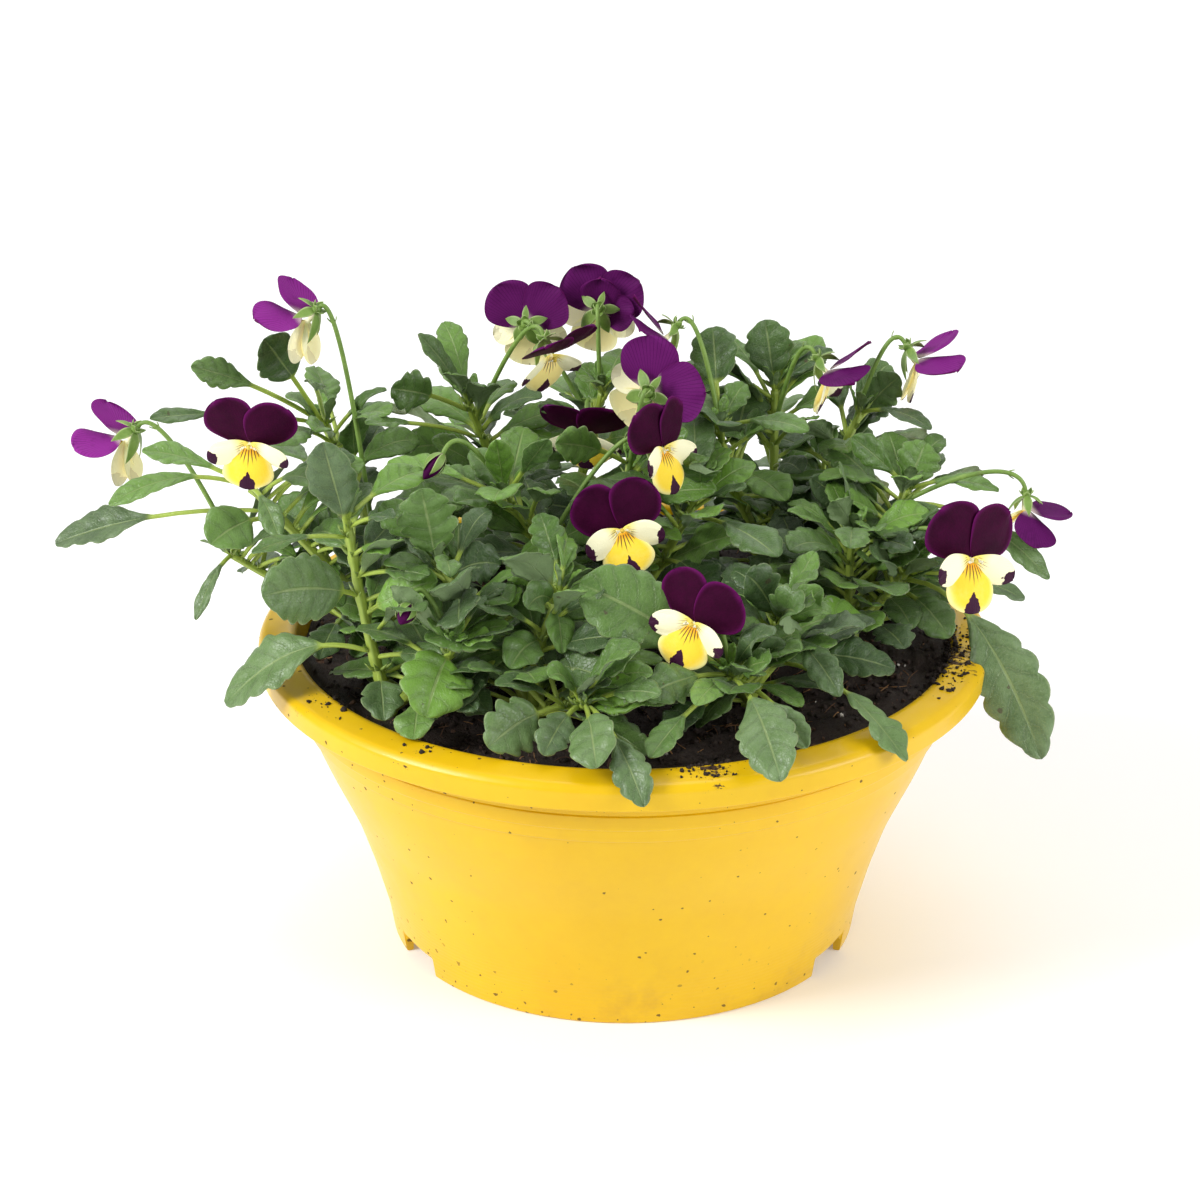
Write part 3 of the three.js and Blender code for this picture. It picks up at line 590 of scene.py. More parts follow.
def soilBody():
    # From the centre of its underside out along the plate, up the wall and over the top.
    angle = ringAngles(soilBed["facets"])
    heights = np.array([soilBed["underside"], 15, 32, 50, 65, 80, 95, 106])[:, None]
    radius = np.interp(heights, wallHeight, wallRadius) - soilBed["wallGap"]
    x, y = radius * np.cos(angle), radius * np.sin(angle)
    low = np.stack([x, y, np.broadcast_to(heights, x.shape)], -1)
    share = np.sqrt(np.linspace(1, 0, soilBed["rows"] + 1)[:-1])
    edge = np.interp(soilHeight(120 * np.cos(angle), 120 * np.sin(angle)), wallHeight, wallRadius)
    radius = share[:, None] * (edge - soilBed["wallGap"])
    x, y = radius * np.cos(angle), radius * np.sin(angle)
    top = soilTop(x, y) - 1.2 * ramp(share, 0.97, 1)[:, None]
    body = np.concatenate([low, np.stack([x, y, top], -1)])
    summit = soilTop(np.zeros(1), np.zeros(1))[0]
    points = np.concatenate([[[0, 0, soilBed["underside"]]], body.reshape(-1, 3), [[0, 0, summit]]])
    quads, triangles = tubeFaces(len(body), len(angle))
    return {"points": points, "quads": quads, "triangles": triangles, "map": flatMap(points)}


def randomAxes(random, count):
    # Three unit vectors square to each other for each crumb, turned at random.
    first = unit(random.normal(size=(count, 3)))
    second = unit(np.cross(first, random.normal(size=(count, 3))))
    return np.stack([first, second, np.cross(first, second)], 1)


def crumbPart(centres, sizes, random):
    # Each crumb is a twenty-sided grain, pulled about and turned at random.
    golden = (1 + math.sqrt(5)) / 2
    corners = [(0, s, t * golden) for s in (-1, 1) for t in (-1, 1)]
    grain = np.array([np.roll(corner, turn) for turn in range(3) for corner in corners])
    apart = np.linalg.norm(grain[:, None] - grain[None], axis=-1)
    near = np.isclose(apart, 2)
    threes = np.array(list(itertools.combinations(range(grainCorners), 3)))
    i, j, k = threes.T
    faces = threes[near[i, j] & near[j, k] & near[i, k]]
    a, b, c = (grain[faces[:, corner]] for corner in range(3))
    inward = np.einsum("ij,ij->i", np.cross(b - a, c - a), a) < 0
    faces[inward] = faces[inward][:, ::-1]
    count = len(centres)
    stretch = random.uniform(0.4, 1.3, (count, 1, 3))
    stretch = stretch * random.uniform(0.72, 1.28, (count, grainCorners, 1))
    local = unit(grain)[None] * stretch * sizes[:, None, None]
    points = centres[:, None] + local @ randomAxes(random, count)
    triangles = (faces[None] + grainCorners * np.arange(count)[:, None, None]).reshape(-1, 3)
    points = points.reshape(-1, 3)
    quads = np.zeros((0, 4), int)
    return {"points": points, "quads": quads, "triangles": triangles, "map": flatMap(points)}


def strewn(random, count, reach):
    # Places spread evenly over a disc: the radius is its reach times the root of a random number.
    angle = random.uniform(0, 2 * np.pi, count)
    radius = reach * np.sqrt(random.uniform(0, 1, count))
    return radius * np.cos(angle), radius * np.sin(angle)


def crumbsOnSoil(random):
    # Crumbs all over the soil, many small ones and few large.
    x, y = strewn(random, soilBed["crumbs"], soilBed["crumbReach"])
    sizes = 0.35 + 1.35 * random.uniform(0, 1, len(x)) ** 2.6
    centres = np.stack([x, y, soilTop(x, y) + sizes * 0.25], -1)
    part = crumbPart(centres, sizes, random)
    shade = np.repeat(random.uniform(0, 1, len(x)), grainCorners)
    return withValues(part, shade=shade, fibre=0, perlite=0)


def crumbsOnRim(random):
    # Crumbs round the middle of each spill, most of them at the rim's inner edge.
    parts = []
    for azimuth, spread, count in bowl["spills"]:
        angle = math.radians(azimuth) + random.normal(0, spread / bowl["rimRadius"] / 1.5, count)
        radius = 118.5 + 13 * random.uniform(0, 1, count) ** 2.6
        sizes = 0.16 + 0.95 * random.uniform(0, 1, count) ** 3
        height = np.interp(radius, rimTopRadius, rimTopHeight) + sizes * 0.3
        place = np.stack([radius * np.cos(angle), radius * np.sin(angle), height], -1)
        part = crumbPart(place, sizes, random)
        shade = np.repeat(random.uniform(0, 0.7, count), grainCorners)
        parts.append(withValues(part, shade=shade, fibre=0, perlite=0))
    return parts


def perliteAndGlintsOnSoil(random):
    # White grains partly sunk in the soil: perlite, and painted glints where wet bark catches the light.
    x, y = strewn(random, soilBed["perlite"], soilBed["perliteReach"])
    sizes = random.uniform(0.35, 0.95, len(x))
    grains = crumbPart(np.stack([x, y, soilTop(x, y) + 0.3], -1), sizes, random)
    return withValues(grains, shade=0, fibre=0, perlite=1)


def fibresOnSoil(random):
    # Short bent fibres, each a thin tube along a curve with three control points.
    parts = []
    for _ in range(soilBed["fibres"]):
        angle = random.uniform(0, 2 * np.pi)
        radius = soilBed["fibreReach"] * math.sqrt(random.uniform())
        middle = np.array([radius * math.cos(angle), radius * math.sin(angle), 0])
        middle[2] = soilTop(middle[:1], middle[1:2])[0] + random.uniform(0.2, 1.2)
        reach = np.append(random.normal(size=2), random.normal(0, 0.35))
        reach = unit(reach) * random.uniform(1.5, 4.5)
        bend = middle + random.normal(size=3) * 1.2
        controls = [middle - reach, bend, middle + reach]
        thick = random.uniform(0.1, 0.28)
        part = tubePart(controls, thick * np.array([0, 0.8, 1, 0.9, 0.6, 0]), 4, (0.1, 0.2, 1))
        parts.append(withValues(part, shade=random.uniform(), fibre=1, perlite=0))
    return parts


def pottingMix():
    # Near-black crumbs with brown bark, pale straw-like fibres and a few white grains, which are
    # perlite and also painted glints of light.
    material, tree, shader = newMaterial("Potting mix", Specular_IOR_Level=0.45)
    place = tree.place()
    patches = tree.group(mottle, Place=place, Scale=85.0, Contrast=1.8)
    colour = tree.blend(patches["Mask"], soilBed["dark"], tone(54, 38, 28))
    brown = tree.step(tree.value("shade"), 0.72, 1.0, 0.0, 0.7)
    colour = tree.blend(brown, colour, soilBed["light"])
    bark = tree.group(specks, Place=place, Scale=260.0, Share=0.1, Size=0.3)["Mask"]
    colour = tree.blend(tree.sum("MULTIPLY", bark, 0.5), colour, tone(116, 78, 54))
    straw = tree.blend(tree.value("shade"), tone(82, 52, 32), tone(170, 126, 82))
    colour = tree.blend(tree.value("fibre"), colour, straw)
    # White grains: perlite, and painted glints of light on wet crumbs.
    colour = tree.blend(tree.value("perlite"), colour, tone(226, 220, 208))
    tree.feed(shader["Base Color"], colour)
    tree.feed(shader["Roughness"], tree.sum("MULTIPLY_ADD", patches["Fine"], 0.5, 0.42))
    tree.feed(shader["Normal"], tree.bump(tree.noise(place, 900.0, 5.0, 0.7), 0.9, 0.0014))
    return material


def makeSoil():
    random = np.random.default_rng(soilBed["seed"])
    parts = [withValues(soilBody(), shade=0.2, fibre=0, perlite=0), crumbsOnSoil(random)]
    parts += crumbsOnRim(random) + fibresOnSoil(random) + [perliteAndGlintsOnSoil(random)]
    addPiece("pottingSoil", joinParts(parts), [pottingMix()], ["potting_soil"])


makeSoil()
print("soil made")


# The plants. Each shoot runs from its plant's crown through a bend to its top. A leaf is
# (share of the shoot where it springs, tip x, y, z, blade length, blade width, arch, facing),
# where arch is the rise of its middle over the straight line to the tip. A shoot's fill is its
# own number of places for small leaves, instead of the usual one.
plants = {
    "plant_left": {
        "crown": (-78, -10),
        "shoots": [
            {"bend": (-108, -18, 150), "top": (-134, -25, 184), "leaves": [
                (0.85, -207, -15, 158, 38, 19, 10, "up"),
                (1, -183, -40, 183, 34, 11, 14, "up"),
                (1, -173, -20, 196, 28, 11, 6, "up"),
                (0.8, -147, -45, 170, 19, 20, 8, "front"),
                (1, -122, -50, 174, 20, 9, 8, "front"),
            ]},
            {"bend": (-92, 22, 145), "top": (-112, 40, 184), "leaves": [
                (1, -173, 5, 199, 25, 9, 6, "up"),
                (1, -159, 20, 214, 27, 12, 6, "front"),
                (0.95, -132, 22, 224, 22, 20, 3, "front"),
                (1, -111, -18, 221, 20, 8, 6, "up"),
                (0.7, -100, 18, 196, 22, 14, 6, "up"),
                (0.6, -140, 62, 170, 30, 18, 10, "back"),
                (0.8, -118, 76, 194, 26, 15, 8, "back"),
                (0.9, -86, 12, 198, 34, 16, 12, "up"),
                (0.9, -128, 2, 190, 28, 15, 12, "up"),
            ]},
            {"bend": (-118, -4, 132), "top": (-144, -6, 150), "leaves": [
                (1, -156, -25, 132, 22, 7, 8, "up"),
                (0.6, -143, 26, 130, 28, 16, 14, "up"),
                (0.3, -110, -42, 124, 20, 14, 10, "up"),
            ]},
        ],
    },
    "plant_front_left": {
        "crown": (-84, -62),
        "shoots": [
            {"bend": (-93, -62, 150), "top": (-98, -50, 182), "fill": 13, "leaves": [
                (0.9, -105, -56, 213, 30, 19, 0, "front"),
                (0.6, -126, -78, 164, 33, 26, 6, "front"),
                (0.7, -68, -74, 170, 20, 11, 4, "up"),
                (0.95, -80, -70, 190, 15, 8, 4, "up"),
                (0.9, -130, -68, 176, 22, 9, 6, "up"),
                (0.3, -143, -55, 112, 42, 24, 22, "left"),
                (0.2, -84, -90, 122, 18, 16, 8, "front"),
                (1, -72, -24, 190, 26, 15, 6, "front"),
                (0.8, -98, -10, 178, 28, 18, 6, "up"),
                (0.8, -112, -30, 168, 26, 16, 8, "up"),
            ]},
            {"bend": (-66, -70, 130), "top": (-60, -82, 146), "leaves": [
                (0.9, -69, -100, 128, 25, 27, 6, "front"),
                (1, -46, -90, 153, 14, 11, 4, "up"),
                (0.4, -73, -103, 121, 18, 16, 5, "up"),
            ]},
        ],
    },
    "plant_front": {
        "crown": (-32, -72),
        "shoots": [
            {"bend": (-48, -64, 145), "top": (-66, -60, 168), "leaves": [
                (1, -71, -62, 198, 30, 22, 2, "front"),
                (0.9, -86, -46, 186, 18, 13, 4, "front"),
                (0.9, -44, -54, 166, 20, 16, 6, "front"),
            ]},
            {"bend": (-34, -78, 142), "top": (-22, -64, 160), "leaves": [
                (1, -30, -50, 184, 20, 14, 3, "up"),
                (0.9, -34, -84, 162, 18, 13, 8, "front"),
                (0.9, -22, -82, 144, 23, 11, 6, "front"),
                (0.6, -40, -90, 142, 19, 15, 6, "front"),
            ]},
            {"bend": (-24, -90, 126), "top": (-14, -98, 132), "leaves": [
                (0.7, -47, -116, 124, 23, 22, 8, "front"),
                (0.9, -28, -122, 124, 20, 14, 6, "front"),
                (1, -10, -134, 125, 24, 19, 8, "front"),
                (1, 6, -141, 114, 26, 14, 14, "front"),
                (1, 12, -112, 142, 20, 12, 6, "up"),
            ]},
        ],
    },
    "plant_front_right": {
        "crown": (44, -64),
        "shoots": [
            {"bend": (42, -76, 130), "top": (36, -84, 137), "leaves": [
                (1, -16, -76, 168, 44, 29, 6, "front"),
                (0.8, 8, -124, 124, 22, 12, 8, "up"),
                (0.9, 52, -138, 122, 38, 21, 14, "front"),
                (0.8, 62, -116, 124, 22, 11, 8, "front"),
                (1, 6, -106, 138, 24, 17, 6, "up"),
            ]},
            {"bend": (52, -62, 132), "top": (54, -58, 146), "leaves": [
                (1, 59, -84, 160, 26, 18, 6, "front"),
                (0.9, 74, -98, 135, 30, 12, 10, "up"),
                (0.5, 97, -104, 113, 30, 18, 20, "right"),
                (1, 42, -68, 168, 24, 17, 6, "front"),
                (0.5, 96, -60, 128, 26, 18, 8, "up"),
            ]},
        ],
    },
    "plant_centre": {
        "crown": (-4, -6),
        "shoots": [
            {"bend": (-26, -8, 150), "top": (-43, -15, 176), "leaves": [
                (1, -46, -24, 202, 24, 11, 2, "front"),
                (1, -27, -34, 206, 24, 10, 2, "front"),
                (0.9, -60, -40, 184, 22, 12, 5, "up"),
                (0.7, -30, -46, 166, 22, 16, 6, "front"),
                (0.5, -62, -18, 152, 28, 17, 8, "up"),
                (1, -86, -10, 187, 30, 17, 6, "up"),
                (0.9, -74, 2, 178, 28, 17, 6, "up"),
            ]},
            {"bend": (-2, 0, 150), "top": (2, 8, 180), "leaves": [
                (1, -25, -10, 195, 22, 15, 5, "front"),
                (0.9, 9, 30, 210, 18, 8, 4, "up"),
                (0.6, -24, 26, 168, 26, 16, 8, "up"),
            ]},
            {"bend": (16, -4, 148), "top": (28, 0, 174), "leaves": [
                (1, 27, -16, 190, 22, 16, 4, "front"),
                (1, 38, 14, 184, 20, 12, 4, "up"),
                (0.8, 54, -52, 168, 36, 17, 8, "up"),
                (0.5, 32, -38, 148, 26, 18, 8, "up"),
            ]},
        ],
    },
    "plant_right": {
        "crown": (84, -6),
        "shoots": [
            {"bend": (92, -2, 126), "top": (104, 0, 140), "leaves": [
                (0.9, 152, -46, 86, 50, 26, 40, "front"),
                (0.8, 118, -32, 128, 22, 15, 8, "up"),
                (1, 148, -6, 132, 26, 13, 8, "right"),
                (0.9, 142, 30, 126, 28, 15, 12, "right"),
            ]},
            {"bend": (94, 14, 140), "top": (106, 24, 164), "leaves": [
                (1, 140, 22, 164, 26, 11, 8, "up"),
                (0.9, 158, 4, 136, 30, 12, 18, "up"),
                (1, 84, 18, 187, 24, 12, 3, "front"),
                (1, 113, 32, 180, 20, 18, 2, "front"),
                (0.9, 136, 48, 160, 26, 15, 10, "back"),
            ]},
            {"bend": (82, -8, 138), "top": (84, -4, 157), "leaves": [
                (1, 76, -18, 176, 22, 11, 4, "up"),
                (1, 80, -44, 168, 28, 14, 8, "up"),
                (0.9, 104, -26, 160, 20, 12, 6, "up"),
            ]},
        ],
    },
    "plant_back": {
        "crown": (-26, 66),
        "shoots": [
            {"bend": (-46, 56, 150), "top": (-58, 46, 190), "leaves": [
                (1, -77, 48, 217, 30, 12, 4, "up"),
                (1, -64, 28, 208, 20, 11, 4, "up"),
                (0.95, -86, 24, 204, 20, 17, 4, "front"),
                (0.8, -94, 2, 198, 24, 10, 6, "up"),
                (0.6, -92, 78, 176, 30, 18, 12, "back"),
                (0.7, -70, 96, 186, 28, 17, 10, "back"),
            ]},
            {"bend": (-16, 66, 150), "top": (-8, 60, 190), "leaves": [
                (0.8, -34, 104, 178, 30, 18, 12, "back"),
                (0.6, 2, 118, 160, 30, 19, 14, "back"),
                (1, -14, 42, 200, 16, 10, 4, "up"),
            ]},
            {"bend": (-40, 92, 130), "top": (-48, 108, 142), "leaves": [
                (1, -52, 140, 126, 32, 19, 14, "back"),
                (0.8, -86, 116, 128, 28, 17, 14, "back"),
                (0.6, -14, 128, 132, 26, 17, 12, "back"),
            ]},
        ],
    },
    "plant_back_right": {
        "crown": (58, 56),
        "shoots": [
            {"bend": (58, 62, 150), "top": (58, 68, 188), "leaves": [
                (1, 54, 74, 214, 22, 19, 2, "front"),
                (1, 80, 70, 203, 22, 11, 4, "up"),
                (0.9, 42, 92, 200, 22, 13, 6, "back"),
                (0.7, 66, 112, 168, 30, 18, 12, "back"),
            ]},
            {"bend": (76, 58, 148), "top": (90, 58, 182), "leaves": [
                (1, 115, 34, 184, 26, 11, 8, "up"),
                (0.9, 105, 60, 196, 20, 15, 4, "front"),
                (0.7, 118, 82, 162, 28, 17, 10, "back"),
            ]},
            {"bend": (44, 46, 148), "top": (36, 40, 182), "leaves": [
                (1, 46, 52, 196, 16, 11, 4, "up"),
                (1, 68, 16, 190, 28, 13, 8, "up"),
                (0.7, 60, 12, 164, 26, 17, 8, "up"),
                (1, 34, 68, 213, 25, 20, 4, "front"),
            ]},
            {"bend": (74, 84, 128), "top": (84, 98, 140), "leaves": [
                (1, 104, 118, 118, 30, 18, 16, "back"),
                (0.8, 46, 130, 130, 30, 18, 14, "back"),
            ]},
        ],
    },
}

facings = {
    "up": (0, -0.3, 1),
    "front": (0, -1, 0.45),
    "left": (-0.7, -0.5, 0.6),
    "right": (0.7, -0.5, 0.6),
    "back": (0, 0.5, 1),
}

foliage = {
    "mature": tone(48, 77, 31),
    "fresh": tone(114, 160, 46),
    # Pale grey-green of the wax bloom, also used as a painted sheen.
    "waxy": tone(132, 152, 114),
    "underside": tone(126, 148, 104),
    "midrib": tone(146, 164, 104),
    "stem": tone(160, 182, 72),
    "bladeHalfThickness": 0.14,
    "stalkHalfThickness": 0.78,
    "cup": 0.36,  # how far a blade's halves rise from its midrib, as a share of its half width
    "toothDepth": 0.27,
    "toothSpacing": 5.6,
    "fillPerShoot": 21,
    "tipLeaves": 6,
    "lowLeaves": 9,
    "crownDepth": 9,
    "crownRadii": (2.8, 3.2),
    "shootRadii": (2.3, 1.3),
    "goldenTurn": 2.4,  # radians from one leaf to the next up a shoot
    # Millimetres that small leaves keep from flower heads and, as they are seen from the front,
    # from flowers and from placed leaves.
    "headRoom": 14,
    "fillPastFlowers": 18,
    "fillPastLeaves": 7,
    "lowPastLeaves": 6,
    "tuftPastFlowers": 13,
    "seed": 40,
}

# The flowers: head is the throat, where the petals meet. Azimuth 0 faces the front and 90 the
# right, elevation is above level, roll turns the face clockwise, size is 1 where none is given,
# and closing is how far it has folded up again. The bright back sets how magenta the back is, and
# in part paints light shining through the thin petals. The pale value is how faded the lip is,
# ruffle how much the petals ripple, and extra adds petals as (angle, length, closing). The stalk
# springs from the named plant's shoot at the given share of its length.
flowers = [
    {"head": (-117, 16, 233), "azimuth": -110, "elevation": -38, "roll": 0,
     "closing": 0.8, "brightBack": 0.8, "pale": 0.5, "from": ("plant_left", 1, 0.5)},
    {"head": (-182, -5, 194), "azimuth": -106, "elevation": -42, "roll": 0,
     "closing": 0.9, "brightBack": 0.9, "pale": 0.5, "from": ("plant_left", 2, 0.95)},
    {"head": (-132, -44, 207), "azimuth": -5, "elevation": -26, "roll": 5,
     "from": ("plant_left", 0, 1)},
    {"head": (-36, 76, 211), "azimuth": 170, "elevation": -20, "roll": 0, "ruffle": 1.2,
     "from": ("plant_back", 1, 0.8)},
    {"head": (-9, 78, 216), "azimuth": 176, "elevation": -22, "roll": -12, "ruffle": 1.6,
     "extra": ((84, 15, -0.5), (166, 14, -0.3)),
     "from": ("plant_back", 1, 0.95)},
    {"head": (-26, 24, 216), "azimuth": 40, "elevation": -50, "roll": 0,
     "closing": 0.3, "pale": 0.6, "from": ("plant_back", 0, 0.9)},
    {"head": (14, 54, 213), "azimuth": -74, "elevation": -36, "roll": 0,
     "closing": 0.5, "pale": 0.5, "from": ("plant_back_right", 2, 0.9)},
    {"head": (10, 18, 205), "azimuth": 170, "elevation": -14, "roll": -42,
     "size": 1.12, "brightBack": 0.35, "from": ("plant_centre", 1, 0.9)},
    {"head": (15, -18, 196), "azimuth": 52, "elevation": -8, "roll": 4,
     "from": ("plant_centre", 0, 0.6)},
    {"head": (-1, -44, 175), "azimuth": 8, "elevation": 2, "roll": -12,
     "from": ("plant_centre", 2, 0.5)},
    {"head": (23, -88, 158), "azimuth": -28, "elevation": -6, "roll": 15,
     "from": ("plant_front_right", 0, 0.9)},
    {"head": (126, -28, 157), "azimuth": 28, "elevation": -8, "roll": 12,
     "size": 1.18, "from": ("plant_right", 2, 0.9)},
    {"head": (150, 16, 158), "azimuth": 60, "elevation": -84, "roll": 0,
     "size": 0.9, "closing": 1, "from": ("plant_right", 1, 0.9)},
    {"head": (78, 46, 202), "azimuth": 66, "elevation": -42, "roll": 0,
     "closing": 0.8, "pale": 0.6, "from": ("plant_back_right", 0, 0.8)},
    {"head": (112, 56, 203), "azimuth": 82, "elevation": -48, "roll": 0,
     "closing": 0.8, "brightBack": 0.6, "pale": 0.8, "from": ("plant_back_right", 1, 0.9)},
    {"head": (-15, 34, 181), "azimuth": -10, "elevation": -50, "roll": 0,
     "from": ("plant_back", 1, 0.7)},
]

buds = [
    {"head": (-68, -30, 194), "azimuth": -60, "elevation": -45, "length": 12,
     "from": ("plant_centre", 0, 0.9)},
    {"head": (-76, -84, 160), "azimuth": -30, "elevation": -35, "length": 9,
     "from": ("plant_front_left", 1, 1)},
]


def crownPath(plant):
    # From its foot down in the soil to just over the surface.
    x, y = plant["crown"]
    surface = soilHeight(x, y)
    return np.array([(x, y, surface - foliage["crownDepth"]), (x, y, surface + 3)])


def shootPath(plant, shoot):
    start = curveAlong(crownPath(plant), 0.9)[0]
    return np.array([start, shoot["bend"], shoot["top"]], float)


def leafValues(part, tint=0.3, blade=0, under=0, veins=0, waxy=0):
    return withValues(part, tint=tint, blade=blade, under=under, veins=veins, waxy=waxy)


def stemParts(plant):
    # The crown and its shoots: each thins upwards and swells a little where a leaf springs.
    crownRadius = np.interp(np.linspace(0, 1, 12), [0, 0.08, 0.92, 1], [0, *foliage["crownRadii"], 0])
    parts = [leafValues(tubePart(crownPath(plant), crownRadius, 14))]
    for shoot in plant["shoots"]:
        t = np.linspace(0, 1, 44)
        radius = np.interp(t, [0, 1], foliage["shootRadii"])
        for leaf in shoot["leaves"]:
            radius = radius + 0.35 * np.exp(-(((t - leaf[0] + 0.02) / 0.022) ** 2))
        radius = radius * np.sqrt(np.clip(t * 30, 0, 1) * np.clip((1 - t) * 30, 0, 1))
        part = tubePart(shootPath(plant, shoot), radius, 14)
        tint = 0.35 + 0.5 * np.clip(part["map"][:, 1], 0, 1)
        parts.append(leafValues(part, tint))
    return parts


def leafPart(foot, middle, tip, facing, length, width, random, tint, fine=True):
    # A stalk that widens into a blade. Along the blade, s from 0 to 1, the half width is
    # sin(pi * s^p)^q, narrowed towards the foot and round at the tip. Across it, c from -1 to 1,
    # the margin is pulled in between the rounded teeth, the sheet rises from the midrib and
    # turns down again at the edge, and it swells between the side veins.
    controls = np.array([foot, middle, tip], float)
    stalkShare = max(0.12, 1 - length / lengthOf(controls))
    teeth = int(np.clip(round(length / foliage["toothSpacing"]), 3, 6))
    rows, ring = (teeth * 6, 20) if fine else (teeth * 4, 12)
    blade = np.concatenate([np.linspace(0, 1, rows + 1)[:-1], [1 - 0.35 / rows, 1]])
    s = np.concatenate([np.zeros(5), blade])
    t = np.concatenate([stalkShare * np.arange(5) / 5, stalkShare + (1 - stalkShare) * blade])
    places, directions = curveAlong(controls, t)
    slim = ramp(length / width, 1.15, 2.1)
    outline = np.sin(np.pi * s ** (1.05 + 0.25 * slim)) ** (0.52 + 0.08 * slim)
    outline = outline * (1 - (0.15 + 0.4 * slim) * (1 - ramp(s, -0.15, 0.5)))
    half = np.hypot(np.clip(outline, 0, 1) * width / 2, 0.9 * (1 - s))[:, None]
    angle = ringAngles(ring)
    c = np.cos(angle)[None]
    s = s[:, None]
    isBlade = ramp(s, 0.0, 0.08)
    phase = teeth * (1 - s) + 0.5 + random.uniform(-0.22, 0.22) * np.sign(np.round(c, 6))
    notch = (1 - np.abs(np.sin(np.pi * phase)) ** 0.6) * ramp(s, 0.16, 0.34)
    depth = foliage["toothDepth"] * (1 - 0.35 * slim) * random.uniform(0.5, 1.35)
    across = half * c * (1 - depth * notch * np.abs(c) ** 3)
    veins = teeth * (s - 0.2 * np.abs(c) ** 1.15) + 0.2
    swell = 0.5 - 0.5 * np.cos(2 * np.pi * veins)
    swell = 0.6 * swell * np.minimum(1, 3 * np.abs(c)) * (1 - c**6) * isBlade
    droop = random.uniform(0.4, 0.85)
    fold = foliage["cup"] * random.uniform(0.5, 1.25) * (np.abs(c) - droop * np.abs(c) ** 3.2)
    fold = fold * half * isBlade
    start = random.uniform(0, 2 * np.pi)
    wave = random.uniform(0.07, 0.19) * half * np.abs(c) ** 2.5
    wave = wave * np.sin(2 * np.pi * random.uniform(1.1, 2.1) * s + start + 1.6 * np.sign(c)) * isBlade
    thin, thick = foliage["bladeHalfThickness"], foliage["stalkHalfThickness"]
    thin = thin + (thick - thin) * (1 - ramp(s, 0, 0.25))
    keel = np.where(np.sin(angle) < 0, 0.4, 0.0) * np.exp(-((c / 0.2) ** 2)) * isBlade * (1 - s)
    above = np.sin(angle)[None] * thin - keel + swell + fold + wave
    facing = unit(np.array(facing, float) + 0.18 * random.normal(size=3))
    part = sweptPart(places, directions, facing, across, above)
    grid = np.broadcast_to(c, across.shape)
    down = np.broadcast_to(s, across.shape)
    part["map"] = np.stack([0.5 + 0.5 * overRings(grid), overRings(down)], -1)
    under = lowerFace(angle, across.shape)
    bladeShare = np.broadcast_to(isBlade, across.shape)
    reach = math.hypot(tip[0], tip[1])
    # A real wax bloom together with a painted sheen: more on leaves far out and hanging low, with a random
    # part.
    waxy = 0.18 * ramp(reach, 90, 160) + 0.26 * ramp(reach - tip[2], -6, 12)
    waxy = waxy + random.uniform(0, 0.24)
    return leafValues(part, tint, overRings(bladeShare), overRings(under), overRings(veins), waxy)


def leafCurve(foot, tip, arch):
    # The three control points of a leaf, its middle raised over the straight line by the arch.
    return foot, (np.asarray(foot) + tip) / 2 + np.array([0, 0, arch]), np.asarray(tip, float)


def stipules(foot, outward, random, count=5, reach=6.5):
    # A tuft of narrow pointed lobes at a leaf's foot.
    parts = []
    level = unit(np.cross(outward, (0, 0, 1)))
    for i in range(count):
        spread = (i - (count - 1) / 2) / count * 2.1 + random.normal(0, 0.12)
        way = outward * math.cos(spread) * 0.6 + level * math.sin(spread) + np.array([0, 0, 0.75])
        long = reach * random.uniform(0.6, 1.15)
        tip = foot + unit(way) * long
        bend = (foot + tip) / 2 + outward * 0.25 * long
        half = np.array([0, 0.5, 0.75, 0.6, 0.32, 0])[:, None]
        angle = ringAngles(4)
        places, directions = curveAlong([foot, bend, tip], np.linspace(0, 1, 6))
        across, above = half * np.cos(angle), half * 0.3 * np.sin(angle)
        part = sweptPart(places, directions, unit(outward + (0, 0, 0.3)), across, above)
        tint = random.uniform(0.5, 0.9)
        parts.append(leafValues(withPlainMap(part), tint, blade=0.6, veins=0.5))
    return parts


# Leaves that fill the inside of the plants keep clear of the flowers and don't stand in front
# of the flowers or of the large leaves, seen from the front. Sight points to where they are seen
# from, and screenUp is square to it.
sight = np.array([0, -0.9195, 0.393])
screenUp = np.array([0, 0.393, 0.9195])
flowerHeads = np.array([flower["head"] for flower in flowers], float)


def leafCentres():
    # The middle of each placed leaf's blade.
    centres = []
    for plant in plants.values():
        for shoot in plant["shoots"]:
            path = shootPath(plant, shoot)
            for share, x, y, z, length, _, arch, _ in shoot["leaves"]:
                foot = curveAlong(path, share)[0]
                controls = leafCurve(foot, (x, y, z), arch)
                blade = 1 - 0.5 * min(1, length / lengthOf(controls))
                centres.append(curveAlong(controls, blade)[0])
    return np.array(centres)


largeLeafCentres = leafCentres()
roomLow, roomHigh = (np.array(corner) / mm for corner in cadBounds)


def standsInFront(points, things, reach):
    # Whether any point covers a thing: close to it across the line of sight, and nearer.
    offsets = points[:, None] - things[None]
    beside = np.hypot(offsets[..., 0], offsets @ screenUp)
    return bool(((beside < reach) & (offsets @ sight > -2)).any())


def hasRoom(points):
    # Whether all the points are inside the CAD's box, over the soil and rim, and clear of flowers.
    inside = (points > roomLow + 1).all() and (points < roomHigh - 1).all()
    radius = np.hypot(points[:, 0], points[:, 1])
    floor = np.where(radius < 115, soilHeight(points[:, 0], points[:, 1]) + 3, 125)
    nearest = np.linalg.norm(points[:, None] - flowerHeads[None], axis=-1).min()
    awayFromHeads = nearest > foliage["headRoom"]
    return bool(inside and (points[:, 2] > floor).all() and awayFromHeads)


